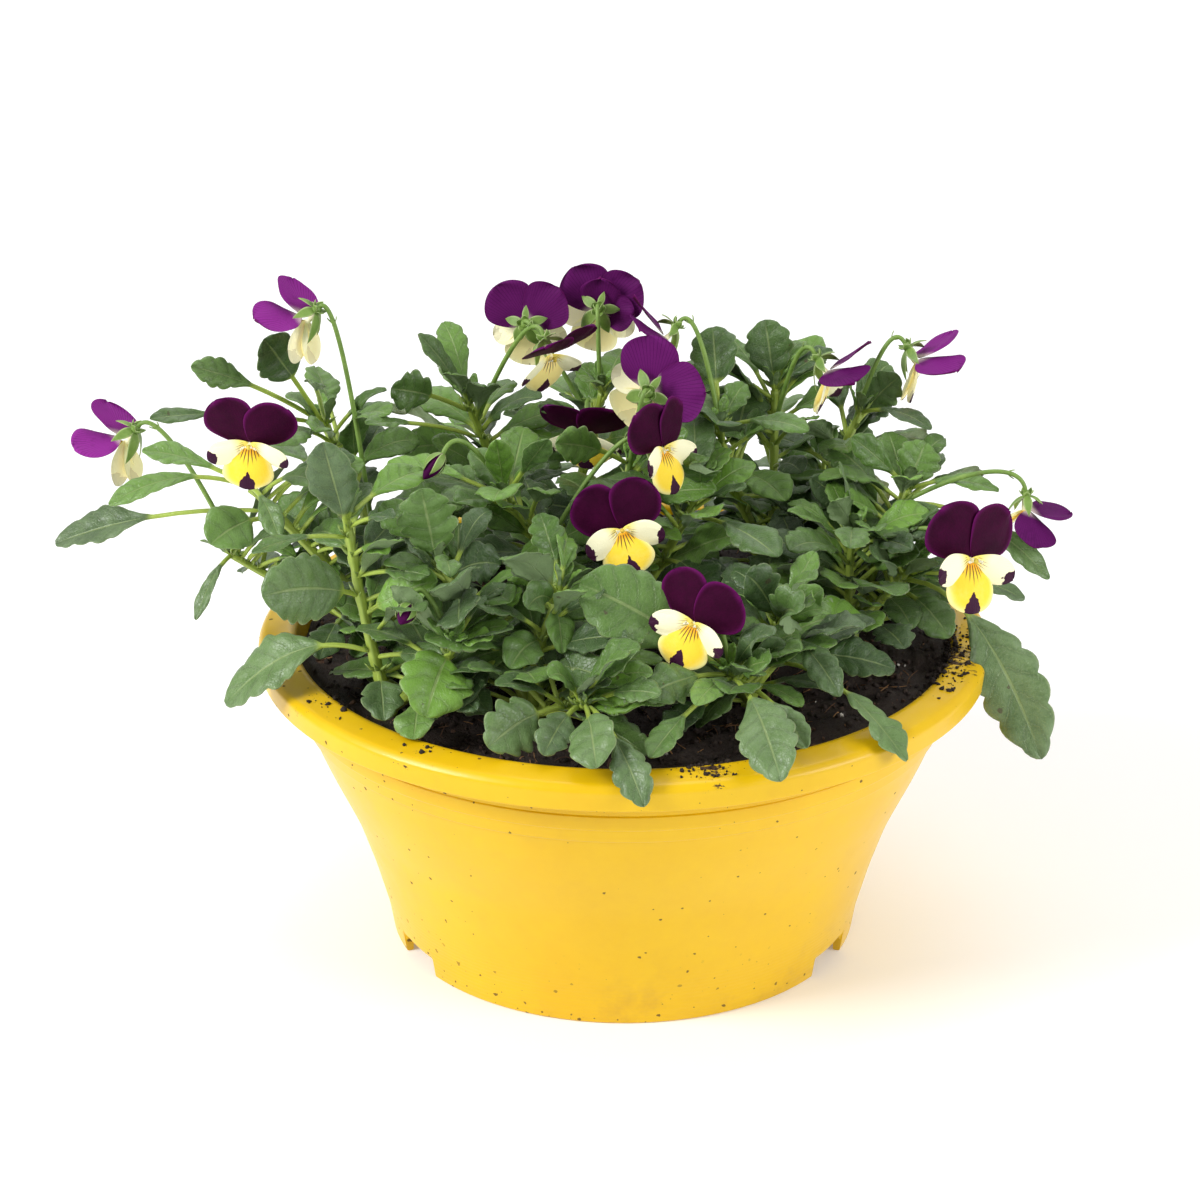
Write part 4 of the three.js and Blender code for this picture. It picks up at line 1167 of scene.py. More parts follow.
def fillLeaves(path, count, random):
    # More leaves up a shoot, each turned on from the last by the golden angle.
    parts = []
    phase = random.uniform(0, 2 * np.pi)
    for i in range(count):
        share = 0.1 + 0.89 * ((i + 0.5) / count) ** 0.75
        foot = curveAlong(path, share)[0]
        for attempt in range(6):
            turn = phase + foliage["goldenTurn"] * i + 0.7 * attempt
            outward = heading(turn)
            length = random.uniform(21, 36) * (1.06 - 0.18 * share - 0.06 * attempt)
            width = length * random.uniform(0.4, 0.7)
            reach = length + random.uniform(5, 15) * (1.1 - 0.5 * share)
            rise = random.uniform(-0.3, 0.6) + 0.7 * share**2
            tip = foot + unit(outward + (0, 0, rise)) * reach
            edge = 116 if tip[1] < -20 else 132
            if math.hypot(tip[0], tip[1]) > edge:
                continue
            controls = leafCurve(foot, tip, random.uniform(2, 12))
            probes = curveAlong(controls, np.array([0.5, 0.75, 1]))[0]
            hidden = standsInFront(probes, flowerHeads, foliage["fillPastFlowers"])
            hidden = hidden or standsInFront(probes, largeLeafCentres, foliage["fillPastLeaves"])
            if hasRoom(probes) and not hidden:
                facing = outward * 0.3 + np.array([0, -0.2, 1]) + 0.22 * random.normal(size=3)
                tint = np.clip(random.normal(0.26 + 0.16 * share, 0.27), 0.0, 1.0)
                parts.append(leafPart(*controls, facing, length, width, random, tint, fine=False))
                if share > 0.7:
                    parts += stipules(foot, outward, random, count=3, reach=4.5)
                break
    return parts


def lowLeaves(plant, random):
    # Broad leaves on long stalks that spring from the crown and spread low over the soil.
    parts = []
    foot = curveAlong(crownPath(plant), 0.85)[0]
    phase = random.uniform(0, 2 * np.pi)
    for i in range(foliage["lowLeaves"]):
        turn = phase + 2 * np.pi * i / foliage["lowLeaves"] + random.normal(0, 0.15)
        outward = heading(turn)
        length = random.uniform(19, 27)
        tip = foot + outward * random.uniform(30, 46) + (0, 0, random.uniform(2, 14))
        if math.hypot(tip[0], tip[1]) > 113:
            continue
        controls = leafCurve(foot, tip, random.uniform(10, 18))
        probes = curveAlong(controls, np.array([0.5, 0.75, 1]))[0]
        hidden = standsInFront(probes, largeLeafCentres, foliage["lowPastLeaves"])
        if hasRoom(probes) and not hidden:
            facing = outward * 0.2 + np.array([0, -0.25, 1])
            tint = np.clip(random.normal(0.25, 0.15), 0, 1)
            width = length * random.uniform(0.6, 0.85)
            parts.append(leafPart(*controls, facing, length, width, random, tint, fine=False))
    return parts


def tipLeaves(path, random):
    # The tuft of young leaves at a shoot's top, each a little shorter than the last.
    parts = []
    top, direction = curveAlong(path, 1.0)
    phase = random.uniform(0, 2 * np.pi)
    for i in range(foliage["tipLeaves"]):
        turn = phase + foliage["goldenTurn"] * i
        outward = heading(turn)
        length = 12.5 - 1.3 * i
        tip = top + unit(outward * (1.1 - 0.13 * i) + direction * 0.8 + (0, 0, 0.5)) * length * 1.2
        probe = np.array([tip])
        hidden = standsInFront(probe, flowerHeads, foliage["tuftPastFlowers"])
        if hidden or not hasRoom(probe):
            continue
        controls = leafCurve(top - direction, tip, 2)
        facing = -outward + np.array([0, 0, 0.6])
        tint = 0.6 + 0.06 * i
        parts.append(leafPart(*controls, facing, length, length * 0.4, random, tint, fine=False))
    return parts


def leafSurface():
    # Grey-green satin leaf: pale midrib and side veins with painted shade in the sunken grooves
    # beside them, a thin pale margin, a paler and duller underside, brighter where it is young.
    satin = {"Sheen_Weight": 0.1, "Sheen_Roughness": 0.4, "Specular_IOR_Level": 0.5}
    material, tree, shader = newMaterial("Viola leaf", **satin)
    place = tree.place()
    across, down = tree.surfaceMap()
    fromMidrib = tree.sum("ABSOLUTE", tree.sum("MULTIPLY_ADD", across, 2.0, -1.0))
    patches = tree.group(mottle, Place=place, Scale=130.0, Contrast=1.5)
    tint = tree.sum("ADD", tree.value("tint"), tree.sum("MULTIPLY_ADD", patches["Mask"], 0.36, -0.18))
    colour = tree.blend(tint, foliage["mature"], foliage["fresh"])
    # Paler grey-green where waxy: partly the wax bloom, partly a painted sheen.
    waxy = tree.sum("MULTIPLY", tree.value("waxy"), tree.step(patches["Mask"], 0.2, 0.8, 0.35, 0.9))
    colour = tree.blend(waxy, colour, foliage["waxy"])
    waver = tree.sum("MULTIPLY_ADD", tree.noise(place, 170.0, 2.0), 0.5, -0.25)
    phase = tree.sum("ADD", tree.value("veins"), waver)
    offVein = tree.sum("ABSOLUTE", tree.sum("SUBTRACT", phase, tree.sum("ROUND", phase)))
    inside = tree.sum("MULTIPLY", tree.step(fromMidrib, 0.02, 0.1), tree.step(fromMidrib, 1.0, 0.8))
    # Painted shade: darker in the sunken grooves beside the side veins.
    beside = tree.sum("MULTIPLY", tree.step(offVein, 0.2, 0.06), inside)
    colour = tree.blend(tree.sum("MULTIPLY", beside, 0.2), colour, tone(36, 56, 26))
    faint = tree.step(patches["Fine"], 0.35, 0.65)
    line = tree.sum("MULTIPLY", tree.step(offVein, 0.045, 0.015), tree.sum("MULTIPLY", inside, faint))
    rib = tree.step(fromMidrib, 0.06, 0.02)
    rib = tree.sum("MULTIPLY", rib, tree.step(down, 1.0, 0.7, 0.25, 1.0))
    ribs = tree.either(rib, tree.sum("MULTIPLY", line, 0.4))
    colour = tree.blend(tree.sum("MULTIPLY", ribs, 0.55), colour, foliage["midrib"])
    margin = tree.step(fromMidrib, 0.93, 1.0)
    colour = tree.blend(tree.sum("MULTIPLY", margin, 0.5), colour, tone(160, 178, 122))
    net = tree.add("TexVoronoi", {"Vector": place, "Scale": 780.0}, feature="DISTANCE_TO_EDGE").outputs[0]
    mesh = tree.step(net, 0.12, 0.0)
    colour = tree.blend(tree.sum("MULTIPLY", mesh, 0.1), colour, tone(140, 166, 96))
    under = tree.value("under")
    colour = tree.blend(tree.sum("MULTIPLY", under, 0.85), colour, foliage["underside"])
    blade = tree.value("blade")
    colour = tree.blend(tree.sum("SUBTRACT", 1.0, blade), colour, foliage["stem"])
    dust = tree.group(specks, Place=place, Scale=300.0, Share=0.035, Size=0.2)["Mask"]
    colour = tree.blend(tree.sum("MULTIPLY", dust, 0.7), colour, tone(74, 58, 40))
    tree.feed(shader["Base Color"], colour)
    rough = tree.sum("MULTIPLY_ADD", patches["Fine"], 0.22, 0.27)
    tree.feed(shader["Roughness"], tree.sum("MULTIPLY_ADD", under, 0.25, rough))
    height = tree.sum("MULTIPLY", tree.either(rib, tree.sum("MULTIPLY", line, 0.7)), -0.6)
    height = tree.sum("MULTIPLY_ADD", mesh, -0.16, height)
    height = tree.sum("MULTIPLY_ADD", tree.noise(place, 950.0, 3.0), 0.3, height)
    height = tree.sum("MULTIPLY_ADD", tree.noise(place, 130.0, 2.0), 2.6, height)
    tree.feed(shader["Normal"], tree.bump(height, 0.6, 0.0006))
    return material


def stemSurface():
    # Juicy green stem with fine ridges along it, each with a darker crest.
    material, tree, shader = newMaterial("Viola stem", Specular_IOR_Level=0.45)
    place = tree.place()
    patches = tree.group(mottle, Place=place, Scale=160.0, Contrast=1.6)
    colour = tree.blend(patches["Mask"], tone(122, 148, 48), tone(172, 190, 84))
    tint = tree.sum("MULTIPLY", tree.value("tint"), 0.5)
    colour = tree.blend(tint, colour, foliage["stem"])
    around, _ = tree.surfaceMap()
    ridges = tree.sum("COSINE", tree.sum("MULTIPLY", around, 2 * math.pi * 5))
    colour = tree.blend(tree.step(ridges, 0.3, 1.0, 0.0, 0.3), colour, tone(112, 142, 54))
    tree.feed(shader["Base Color"], colour)
    tree.feed(shader["Roughness"], tree.sum("MULTIPLY_ADD", patches["Fine"], 0.2, 0.34))
    height = tree.sum("MULTIPLY_ADD", tree.noise(place, 1400.0, 3.0), 0.5, ridges)
    tree.feed(shader["Normal"], tree.bump(height, 0.35, 0.0003))
    return material


leafMaterial = leafSurface()
stemMaterial = stemSurface()


def camelName(node):
    # plant_back_right as plantBackRight.
    first, *rest = node.split("_")
    return first + "".join(word.capitalize() for word in rest)


def makePlant(name, plant, seed):
    # Stems, placed leaves with their stipules, and then the leaves that fill each shoot.
    random = np.random.default_rng(seed)
    parts = stemParts(plant)
    for part in parts:
        part["slot"] = 1
    for shoot in plant["shoots"]:
        path = shootPath(plant, shoot)
        for share, x, y, z, length, width, arch, facing in shoot["leaves"]:
            foot = curveAlong(path, share)[0]
            controls = leafCurve(foot, (x, y, z), arch)
            tint = np.clip(random.normal(0.3, 0.24), 0.0, 0.9)
            parts.append(leafPart(*controls, facings[facing], length, width, random, tint))
            outward = unit(np.array([x - foot[0], y - foot[1], 0]))
            parts += stipules(foot, outward, random)
        count = shoot.get("fill", foliage["fillPerShoot"])
        parts += fillLeaves(path, count, random) + tipLeaves(path, random)
    parts += lowLeaves(plant, random)
    addPiece(camelName(name), joinParts(parts), [leafMaterial, stemMaterial], [name])


for seed, (name, plant) in enumerate(plants.items()):
    makePlant(name, plant, foliage["seed"] + seed)
print("plants made")


# Flower parts, in the flower's own axes: x across, y up and z out of its face. A petal's from,
# middle and tip are heights over the face along it, and fullest is how far out it is widest.
bloom = {
    "upper": (
        {"angle": 47, "length": 19, "width": 20, "from": -1.6, "middle": -3.0, "tip": -6.2, "fullest": 0.6},
        {"angle": 133, "length": 19, "width": 20, "from": -1.8, "middle": -3.7, "tip": -6.9, "fullest": 0.6},
    ),
    "sides": (
        {"angle": -18, "length": 15, "width": 10, "from": -1.6, "middle": 2.4, "tip": 3.8, "fullest": 0.62},
        {"angle": 198, "length": 15, "width": 10, "from": -1.6, "middle": 2.4, "tip": 3.8, "fullest": 0.62},
    ),
    "lip": {"angle": 270, "length": 15, "width": 18.5, "from": -1.6, "middle": 5, "tip": 7, "fullest": 0.64},
    "spur": ((0, -1.0, -0.4), (0, -1.3, -3), (0, -0.7, -5.9)),
    "receptacle": -7.6,
    # Each sepal: its direction, how far it reaches forward and outward, and its half width.
    "sepals": (
        (16, 3.2, 8.2, 1.9), (90, 0, 7, 1.3), (164, 3.2, 8.2, 1.9),
        (240, 8.6, 9.4, 2.4), (300, 8.6, 9.4, 2.4),
    ),
    # What closing does: degrees the upper petals tip over the face, degrees their outer halves
    # slope forward, and degrees and millimetres the side petals drop and lean forward.
    "hood": 42,
    "roof": 26,
    "parting": 0.4,  # how much more the nearer petal closes than the farther one
    "narrowing": 0.25,  # share of the lower petals' width that closing takes away
    "sideDrop": 32,
    "sideLean": 4.5,
    "stalkRadii": (0.95, 0.8),
    "seed": 300,
    "velvet": tone(38, 2, 26),
    "velvetGlow": tone(64, 4, 46),
    "velvetRim": tone(100, 16, 88),
    "velvetBack": tone(70, 11, 68),
    # A brighter magenta back, partly painted light shining through the petal.
    "velvetLitMagenta": tone(146, 46, 146),
    "cream": tone(247, 243, 205),
    "yellow": tone(245, 211, 56),
    "markings": tone(52, 8, 42),
}

mapSpan = 30.0  # millimetres of petal that one unit of its surface map covers


def headAxes(item):
    # Unit vectors across a flower's face, up it and out of it.
    turn, rise = math.radians(item["azimuth"]), math.radians(item["elevation"])
    out = np.array([math.sin(turn) * math.cos(rise), -math.cos(turn) * math.cos(rise), math.sin(rise)])
    across = unit(np.cross((0, 0, 1), out))
    upward = np.cross(out, across)
    roll = -math.radians(item.get("roll", 0))
    right = across * math.cos(roll) + upward * math.sin(roll)
    return np.array([right, upward * math.cos(roll) - across * math.sin(roll), out])


def placed(part, item):
    # From the flower's own axes to the planter's.
    size = item.get("size", 1)
    part["points"] = part["points"] * size @ headAxes(item) + np.array(item["head"], float)
    return part


def closedUp(part, closing):
    # The outer halves slope forward from the middle line, and then the petal tips forward.
    slope = math.radians(bloom["roof"] * np.clip(closing, 0, 1))
    tip = math.radians(bloom["hood"] * closing)
    x, y, z = part["points"].T
    z = z + math.sin(slope) * (np.hypot(x, 3) - 3)
    tipped = y * math.cos(tip) - z * math.sin(tip), y * math.sin(tip) + z * math.cos(tip)
    part["points"] = np.stack([x * math.cos(slope), *tipped], -1)
    return part


def sidePetals(closing):
    # As a flower closes, its side petals drop and lean forward.
    for petal in bloom["sides"]:
        way = 1 if petal["angle"] > 90 else -1
        lean = bloom["sideLean"] * closing
        yield {
            **petal,
            "angle": petal["angle"] + way * bloom["sideDrop"] * closing,
            "width": petal["width"] * (1 - bloom["narrowing"] * closing),
            "middle": petal["middle"] + 0.4 * lean,
            "tip": petal["tip"] + lean,
        }


def petalPart(petal, random, cup, ruffle, slot=0, twist=0.0, notch=0.0):
    # Out from the throat the half width grows as a sine to the fullest place, and from there it
    # closes as an ellipse. The sheet bends away from its face towards both edges, and its
    # margin ripples. A notch pulls the middle of its tip back.
    turn = math.radians(petal["angle"])
    outward = heading(turn)
    rows, ring, length = 26, 28, petal["length"]
    reaches = (0.2, petal["from"]), (length * 0.45, petal["middle"]), (length, petal["tip"])
    controls = [outward * reach + (0, 0, height) for reach, height in reaches]
    t = np.sin(np.pi / 2 * np.linspace(0, 1, rows))
    places, directions = curveAlong(controls, t)
    facing = unit(np.array([math.sin(turn) * twist, -math.cos(turn) * twist, 1.0]))
    full = petal["fullest"]
    grown = np.sin(np.pi / 2 * np.clip(t / full, 0, 1)) ** 0.75
    closed = np.sqrt(np.clip(1 - np.clip((t - full) / (1 - full), 0, 1) ** 2.1, 0, 1))
    uneven = 1 + 0.03 * np.sin(9 * t + random.uniform(0, 6))
    half = np.maximum(grown * closed * uneven * petal["width"] / 2, 0.75 * (1 - t))[:, None]
    angle = ringAngles(ring)
    c = np.cos(angle)[None]
    t = t[:, None]
    across = half * c
    phase = random.uniform(0, 2 * np.pi, 3)
    edge = np.maximum(np.abs(c) ** 2, ramp(t, 0.45, 1.0))
    ripple = np.sin(5.5 * c + phase[0]) + 0.7 * np.sin(8 * t + 2.5 * c + phase[1])
    ripple = ripple + 0.5 * np.sin(13 * c + 6 * t + phase[2])
    lift = -cup * c**2 * half + ruffle * 0.42 * edge * ripple * ramp(t, 0.15, 0.5)
    lift = lift + 0.12 * np.cos(np.pi * 9 * c) * ramp(t, 0.1, 0.35) * (1 - 0.5 * t)
    above = 0.16 * np.sin(angle)[None] + lift
    push = -notch * np.exp(-((c / 0.22) ** 2)) * ramp(t, 0.75, 1.0) + np.zeros_like(above)
    part = sweptPart(places, directions, facing, across, above, push)
    along = np.broadcast_to(t * lengthOf(controls), across.shape)
    part["map"] = np.stack([0.5 + overRings(across) / mapSpan, overRings(along) / mapSpan], -1)
    margin = 1 - (1 - np.abs(c) ** 4) * (1 - t**7)
    back = lowerFace(angle, across.shape)
    part["slot"] = slot
    return withValues(part, margin=overRings(margin), back=overRings(back))


def sourceOf(item):
    # The place on its shoot where a flower's or a bud's stalk springs.
    plantName, shootIndex, share = item["from"]
    plant = plants[plantName]
    return curveAlong(shootPath(plant, plant["shoots"][shootIndex]), share)[0]


def stalkControls(item, depth):
    # It climbs from its shoot, arches over and comes down to the back of the head.
    point, out = sourceOf(item), headAxes(item)[2]
    end = np.array(item["head"], float) - out * depth * item.get("size", 1)
    neck = end - 8 * out + (0, 0, 7)
    climb = 0.5 * (point + neck) + (0, 0, 0.1 * np.linalg.norm(end - point))
    return [point, climb, neck, end]


def stalkPart(item, depth):
    # A round stalk that thins towards the head.
    radius = np.interp(np.linspace(0, 1, 46), [0, 1], bloom["stalkRadii"])
    part = tubePart(stalkControls(item, depth), radius, 12)
    return withValues(part, tip=0, edge=0)


def bracts(item, depth, random):
    # Two tiny pointed bracts stand on the stalk below its arch.
    place, direction = curveAlong(stalkControls(item, depth), 0.66)
    parts = []
    for side in (-1, 1):
        level = unit(np.cross(direction, (0.2, 1, 0.1))) * side
        tip = place + unit(level * 0.6 + direction) * random.uniform(3.2, 4.2)
        parts.append(pointedLobe(place, (place + tip) / 2 + level * 0.6, tip, level, 0.45, 6))
    return parts


def pointedLobe(root, bend, tip, facing, halfWidth, ring=8, rows=9, fullness=0.7):
    # A narrow leafy lobe: its half width is sin(pi * t^fullness), fullest early and pointed.
    t = np.linspace(0, 1, rows)
    places, directions = curveAlong([root, bend, tip], t)
    half = (halfWidth * np.sin(np.pi * t**fullness) + 0.06 * (1 - t))[:, None]
    angle = ringAngles(ring)
    across, above = half * np.cos(angle), 0.22 * np.sin(angle) - 0.12 * half * np.cos(angle) ** 2
    part = sweptPart(places, directions, unit(np.array(facing, float)), across, above)
    edge = np.broadcast_to(np.abs(np.cos(angle))[None], across.shape)
    tipShare = np.broadcast_to(t[:, None], across.shape)
    return withValues(withPlainMap(part), tip=overRings(tipShare), edge=overRings(edge))


def ballPart(centre, radii, ring=14, rows=9):
    # A ball stretched along each axis, with its ends closed to a point.
    t = np.linspace(0, 1, rows)
    places = np.stack([np.zeros(rows), np.zeros(rows), -np.cos(np.pi * t) * radii[2]], -1) + centre
    directions = np.broadcast_to(np.array([0, 0, 1.0]), places.shape)
    angle = ringAngles(ring)
    swell = np.sin(np.pi * t)[:, None]
    across, above = swell * np.cos(angle) * radii[0], swell * np.sin(angle) * radii[1]
    return withPlainMap(sweptPart(places, directions, np.array([0, 1.0, 0]), across, above))


def calyxParts(random, closing):
    # A green ball with five pointed sepals that hang forward round the petals' backs, the two
    # lower ones longest, each with a short blunt lobe pointing back along the stalk.
    root = np.array([0, 0.4, bloom["receptacle"]])
    parts = [withValues(ballPart(root, (1.9, 1.9, 1.9)), tip=0, edge=0)]
    for degrees, forward, reach, halfWidth in bloom["sepals"]:
        turn = math.radians(degrees + random.normal(0, 5))
        outward = heading(turn)
        long = reach * random.uniform(0.94, 1.06)
        forward = forward + closing * (3.5 if degrees < 180 else 0.5)
        bend = root + outward * 0.6 * long + (0, 0, forward * 0.25 - 0.4)
        tip = root + outward * long + (0, 0, forward)
        facing = unit(np.array([-outward[0], -outward[1], 1.2]))
        parts.append(pointedLobe(root, bend, tip, facing, halfWidth, 10, 12, 0.85))
        lobe = root + outward * 3.1 + (0, 0, -2.7)
        shoulder = root + outward * 2.6 + (0, 0, -0.4)
        parts.append(pointedLobe(root + outward * 0.6, shoulder, lobe, outward, 1.5, 6, 7, 0.8))
    return parts


def throatParts(random):
    # The pale knob of the pistil and the short white beards at the foot of the side petals.
    knob = ballPart(np.array([0, 0.2, 0.9]), (0.8, 0.9, 1.1), 12, 8)
    parts = [withValues(knob, margin=0, back=0)]
    for side in (-1, 1):
        count = 16
        spread = random.uniform(0, 1, count)
        centres = np.stack([
            side * (0.9 + 1.9 * spread),
            0.5 - 0.9 * spread + random.normal(0, 0.25, count),
            0.9 + random.uniform(0, 0.5, count),
        ], -1)
        beard = crumbPart(centres, random.uniform(0.18, 0.36, count), random)
        parts.append(withValues(beard, margin=1, back=0))
    for part in parts:
        part["slot"] = 2
    return parts


def petalPlane(tree):
    # Millimetres across and along a petal, from its surface map.
    u, v = tree.surfaceMap()
    across = tree.sum("MULTIPLY", tree.sum("SUBTRACT", u, 0.5), mapSpan)
    return across, tree.sum("MULTIPLY", v, mapSpan)


def velvetSurface():
    # Dark velvet wine, lighter at the rim, with fine fanned veins. The back is a clearer
    # purple, on some flowers brighter magenta that is partly painted light shining through the
    # petal, and whitish at its foot.
    sheen = {"Sheen_Weight": 0.03, "Sheen_Roughness": 0.3, "Sheen_Tint": tone(200, 60, 180)}
    material, tree, shader = newMaterial("Purple petal", Specular_IOR_Level=0.06, **sheen)
    across, along = petalPlane(tree)
    place = tree.place()
    patches = tree.group(mottle, Place=place, Scale=120.0, Contrast=1.8)
    lines = tree.group(fan, Across=across, Along=along, Count=15.0, Width=0.12)["Mask"]
    rim = tree.step(tree.value("margin"), 0.4, 1.1)
    front = tree.blend(patches["Mask"], bloom["velvet"], bloom["velvetGlow"])
    front = tree.blend(rim, front, bloom["velvetRim"])
    front = tree.blend(tree.sum("MULTIPLY", lines, 0.1), front, tone(30, 0, 26))
    # The back: its own purple, blended flower by flower towards a brighter magenta that is partly painted
    # light through the petal.
    under = tree.blend(tree.value("bright"), bloom["velvetBack"], bloom["velvetLitMagenta"])
    under = tree.blend(tree.step(patches["Mask"], 0.45, 0.0, 0.0, 0.5), under, tone(60, 6, 60))
    under = tree.blend(tree.sum("MULTIPLY", lines, 0.5), under, tone(58, 6, 58))
    foot = tree.step(tree.sum("MULTIPLY_ADD", lines, 1.5, along), 5.0, 1.5)
    under = tree.blend(tree.sum("MULTIPLY", foot, 0.75), under, tone(226, 208, 200))
    colour = tree.blend(tree.value("back"), front, under)
    tree.feed(shader["Base Color"], colour)
    tree.feed(shader["Roughness"], tree.sum("MULTIPLY_ADD", patches["Fine"], 0.2, 0.5))
    height = tree.sum("MULTIPLY_ADD", lines, -0.25, tree.noise(place, 1300.0, 3.0))
    tree.feed(shader["Normal"], tree.bump(height, 0.35, 0.0004))
    return material


def faceSurface(name, isLip):
    # Cream side petal or yellow lip with tapering dark nectar lines and a dark blotch at its
    # tip. A faded lip is blended towards cream. Both kinds glow a little, as thin petals do with
    # light behind them.
    glow = {"Sheen_Weight": 0.05, "Sheen_Roughness": 0.5, "Emission_Strength": 0.15}
    material, tree, shader = newMaterial(name, Specular_IOR_Level=0.18, **glow)
    across, along = petalPlane(tree)
    place = tree.place()
    patches = tree.group(mottle, Place=place, Scale=140.0, Contrast=1.3)
    margin = tree.value("margin")
    wander = tree.sum("SUBTRACT", tree.noise(place, 420.0, 3.0), 0.5)
    side = tree.sum("ABSOLUTE", across)
    if isLip:
        pale = tree.step(margin, 0.2, 0.95)
        pale = tree.sum("MULTIPLY_ADD", tree.sum("SUBTRACT", patches["Mask"], 0.5), 0.6, pale)
        colour = tree.blend(pale, bloom["yellow"], tone(248, 236, 158))
        orange = tree.step(along, 5.5, 2.0, 0.0, 0.65)
        colour = tree.blend(orange, colour, tone(240, 150, 18))
        colour = tree.blend(tree.value("pale"), colour, tone(246, 236, 178))
        reach = tree.sum("MULTIPLY_ADD", side, -0.8, 9.4)
        count, width, furthest = 6.0, 0.27, 3.9
        spread = tree.sum("MULTIPLY_ADD", along, 0.56, -5.4)
        spade = tree.sum("SUBTRACT", tree.sum("MINIMUM", spread, 2.9), side)
        blotch = tree.step(tree.sum("MULTIPLY_ADD", wander, 2.4, spade), 0.0, 0.2)
    else:
        pale = tree.step(along, 6.5, 1.5)
        colour = tree.blend(pale, bloom["cream"], tone(248, 228, 110))
        reach = tree.sum("MULTIPLY_ADD", side, -0.8, 7.6)
        count, width, furthest = 8.0, 0.2, 1.7
        tip = tree.sum("MULTIPLY_ADD", wander, 5.5, tree.sum("MULTIPLY_ADD", side, -0.55, along))
        blotch = tree.step(tip, 12.3, 12.5)
    width = tree.sum("MULTIPLY_ADD", along, -0.018, width)
    lines = tree.group(fan, Across=across, Along=along, Count=count, Width=width)["Mask"]
    taper = tree.step(tree.sum("SUBTRACT", reach, along), 0.0, 3.5)
    near = tree.step(side, furthest, furthest - 0.4)
    lines = tree.sum("MULTIPLY", lines, tree.sum("MULTIPLY", taper, near))
    lines = tree.sum("MULTIPLY", lines, tree.step(along, 1.6, 2.4))
    bent = tree.sum("MULTIPLY_ADD", wander, 0.9, across)
    veins = tree.group(fan, Across=bent, Along=along, Count=19.0, Width=0.1)["Mask"]
    colour = tree.blend(tree.sum("MULTIPLY", veins, 0.12), colour, tone(222, 204, 110))
    back = tree.blend(patches["Mask"], tone(250, 246, 214), tone(244, 238, 182))
    colour = tree.blend(tree.sum("MULTIPLY", tree.value("back"), 0.7), colour, back)
    front = tree.sum("SUBTRACT", 1.0, tree.sum("MULTIPLY", tree.value("back"), 0.75))
    dark = tree.sum("MULTIPLY", tree.either(tree.sum("MULTIPLY", lines, 0.92), blotch), front)
    colour = tree.blend(dark, colour, bloom["markings"])
    tree.feed(shader["Base Color"], colour)
    tree.feed(shader["Emission Color"], colour)
    tree.feed(shader["Roughness"], tree.sum("MULTIPLY_ADD", patches["Fine"], 0.2, 0.46))
    height = tree.sum("MULTIPLY_ADD", veins, -0.5, tree.noise(place, 1300.0, 3.0))
    tree.feed(shader["Normal"], tree.bump(height, 0.4, 0.0004))
    return material


def throatSurface():
    # Yellow-green knob with orange patches, and white beards.
    material, tree, shader = newMaterial("Flower throat")
    place = tree.place()
    patches = tree.group(mottle, Place=place, Scale=300.0, Contrast=1.6)
    knob = tree.blend(patches["Mask"], tone(196, 206, 90), tone(240, 176, 40))
    beard = tree.blend(patches["Mask"], tone(238, 236, 200), tone(250, 248, 232))
    tree.feed(shader["Base Color"], tree.blend(tree.value("margin"), knob, beard))
    tree.feed(shader["Roughness"], tree.sum("MULTIPLY_ADD", patches["Fine"], 0.2, 0.5))
    tree.feed(shader["Normal"], tree.bump(patches["Fine"], 0.5, 0.0003))
    return material


def calyxSurface():
    # Fresh green stalk and sepals, paler along the sepals' edges, with a few dull red flushes.
    material, tree, shader = newMaterial("Flower stalk and sepals", Specular_IOR_Level=0.4)
    place = tree.place()
    patches = tree.group(mottle, Place=place, Scale=170.0, Contrast=1.8)
    colour = tree.blend(patches["Mask"], tone(88, 122, 48), tone(140, 170, 84))
    edge = tree.step(tree.value("edge"), 0.6, 1.0)
    colour = tree.blend(tree.sum("MULTIPLY", edge, 0.55), colour, tone(204, 216, 158))
    flush = tree.step(tree.noise(place, 90.0, 2.0), 0.62, 0.8)
    colour = tree.blend(tree.sum("MULTIPLY", flush, 0.3), colour, tone(112, 84, 84))
    tree.feed(shader["Base Color"], colour)
    tree.feed(shader["Roughness"], tree.sum("MULTIPLY_ADD", patches["Fine"], 0.2, 0.38))
    tree.feed(shader["Normal"], tree.bump(tree.noise(place, 1200.0, 3.0), 0.4, 0.0003))
    return material


velvetMaterial = velvetSurface()
sideMaterial = faceSurface("Cream side petal", False)
lipMaterial = faceSurface("Yellow lip petal", True)
throatMaterial = throatSurface()
calyxMaterial = calyxSurface()


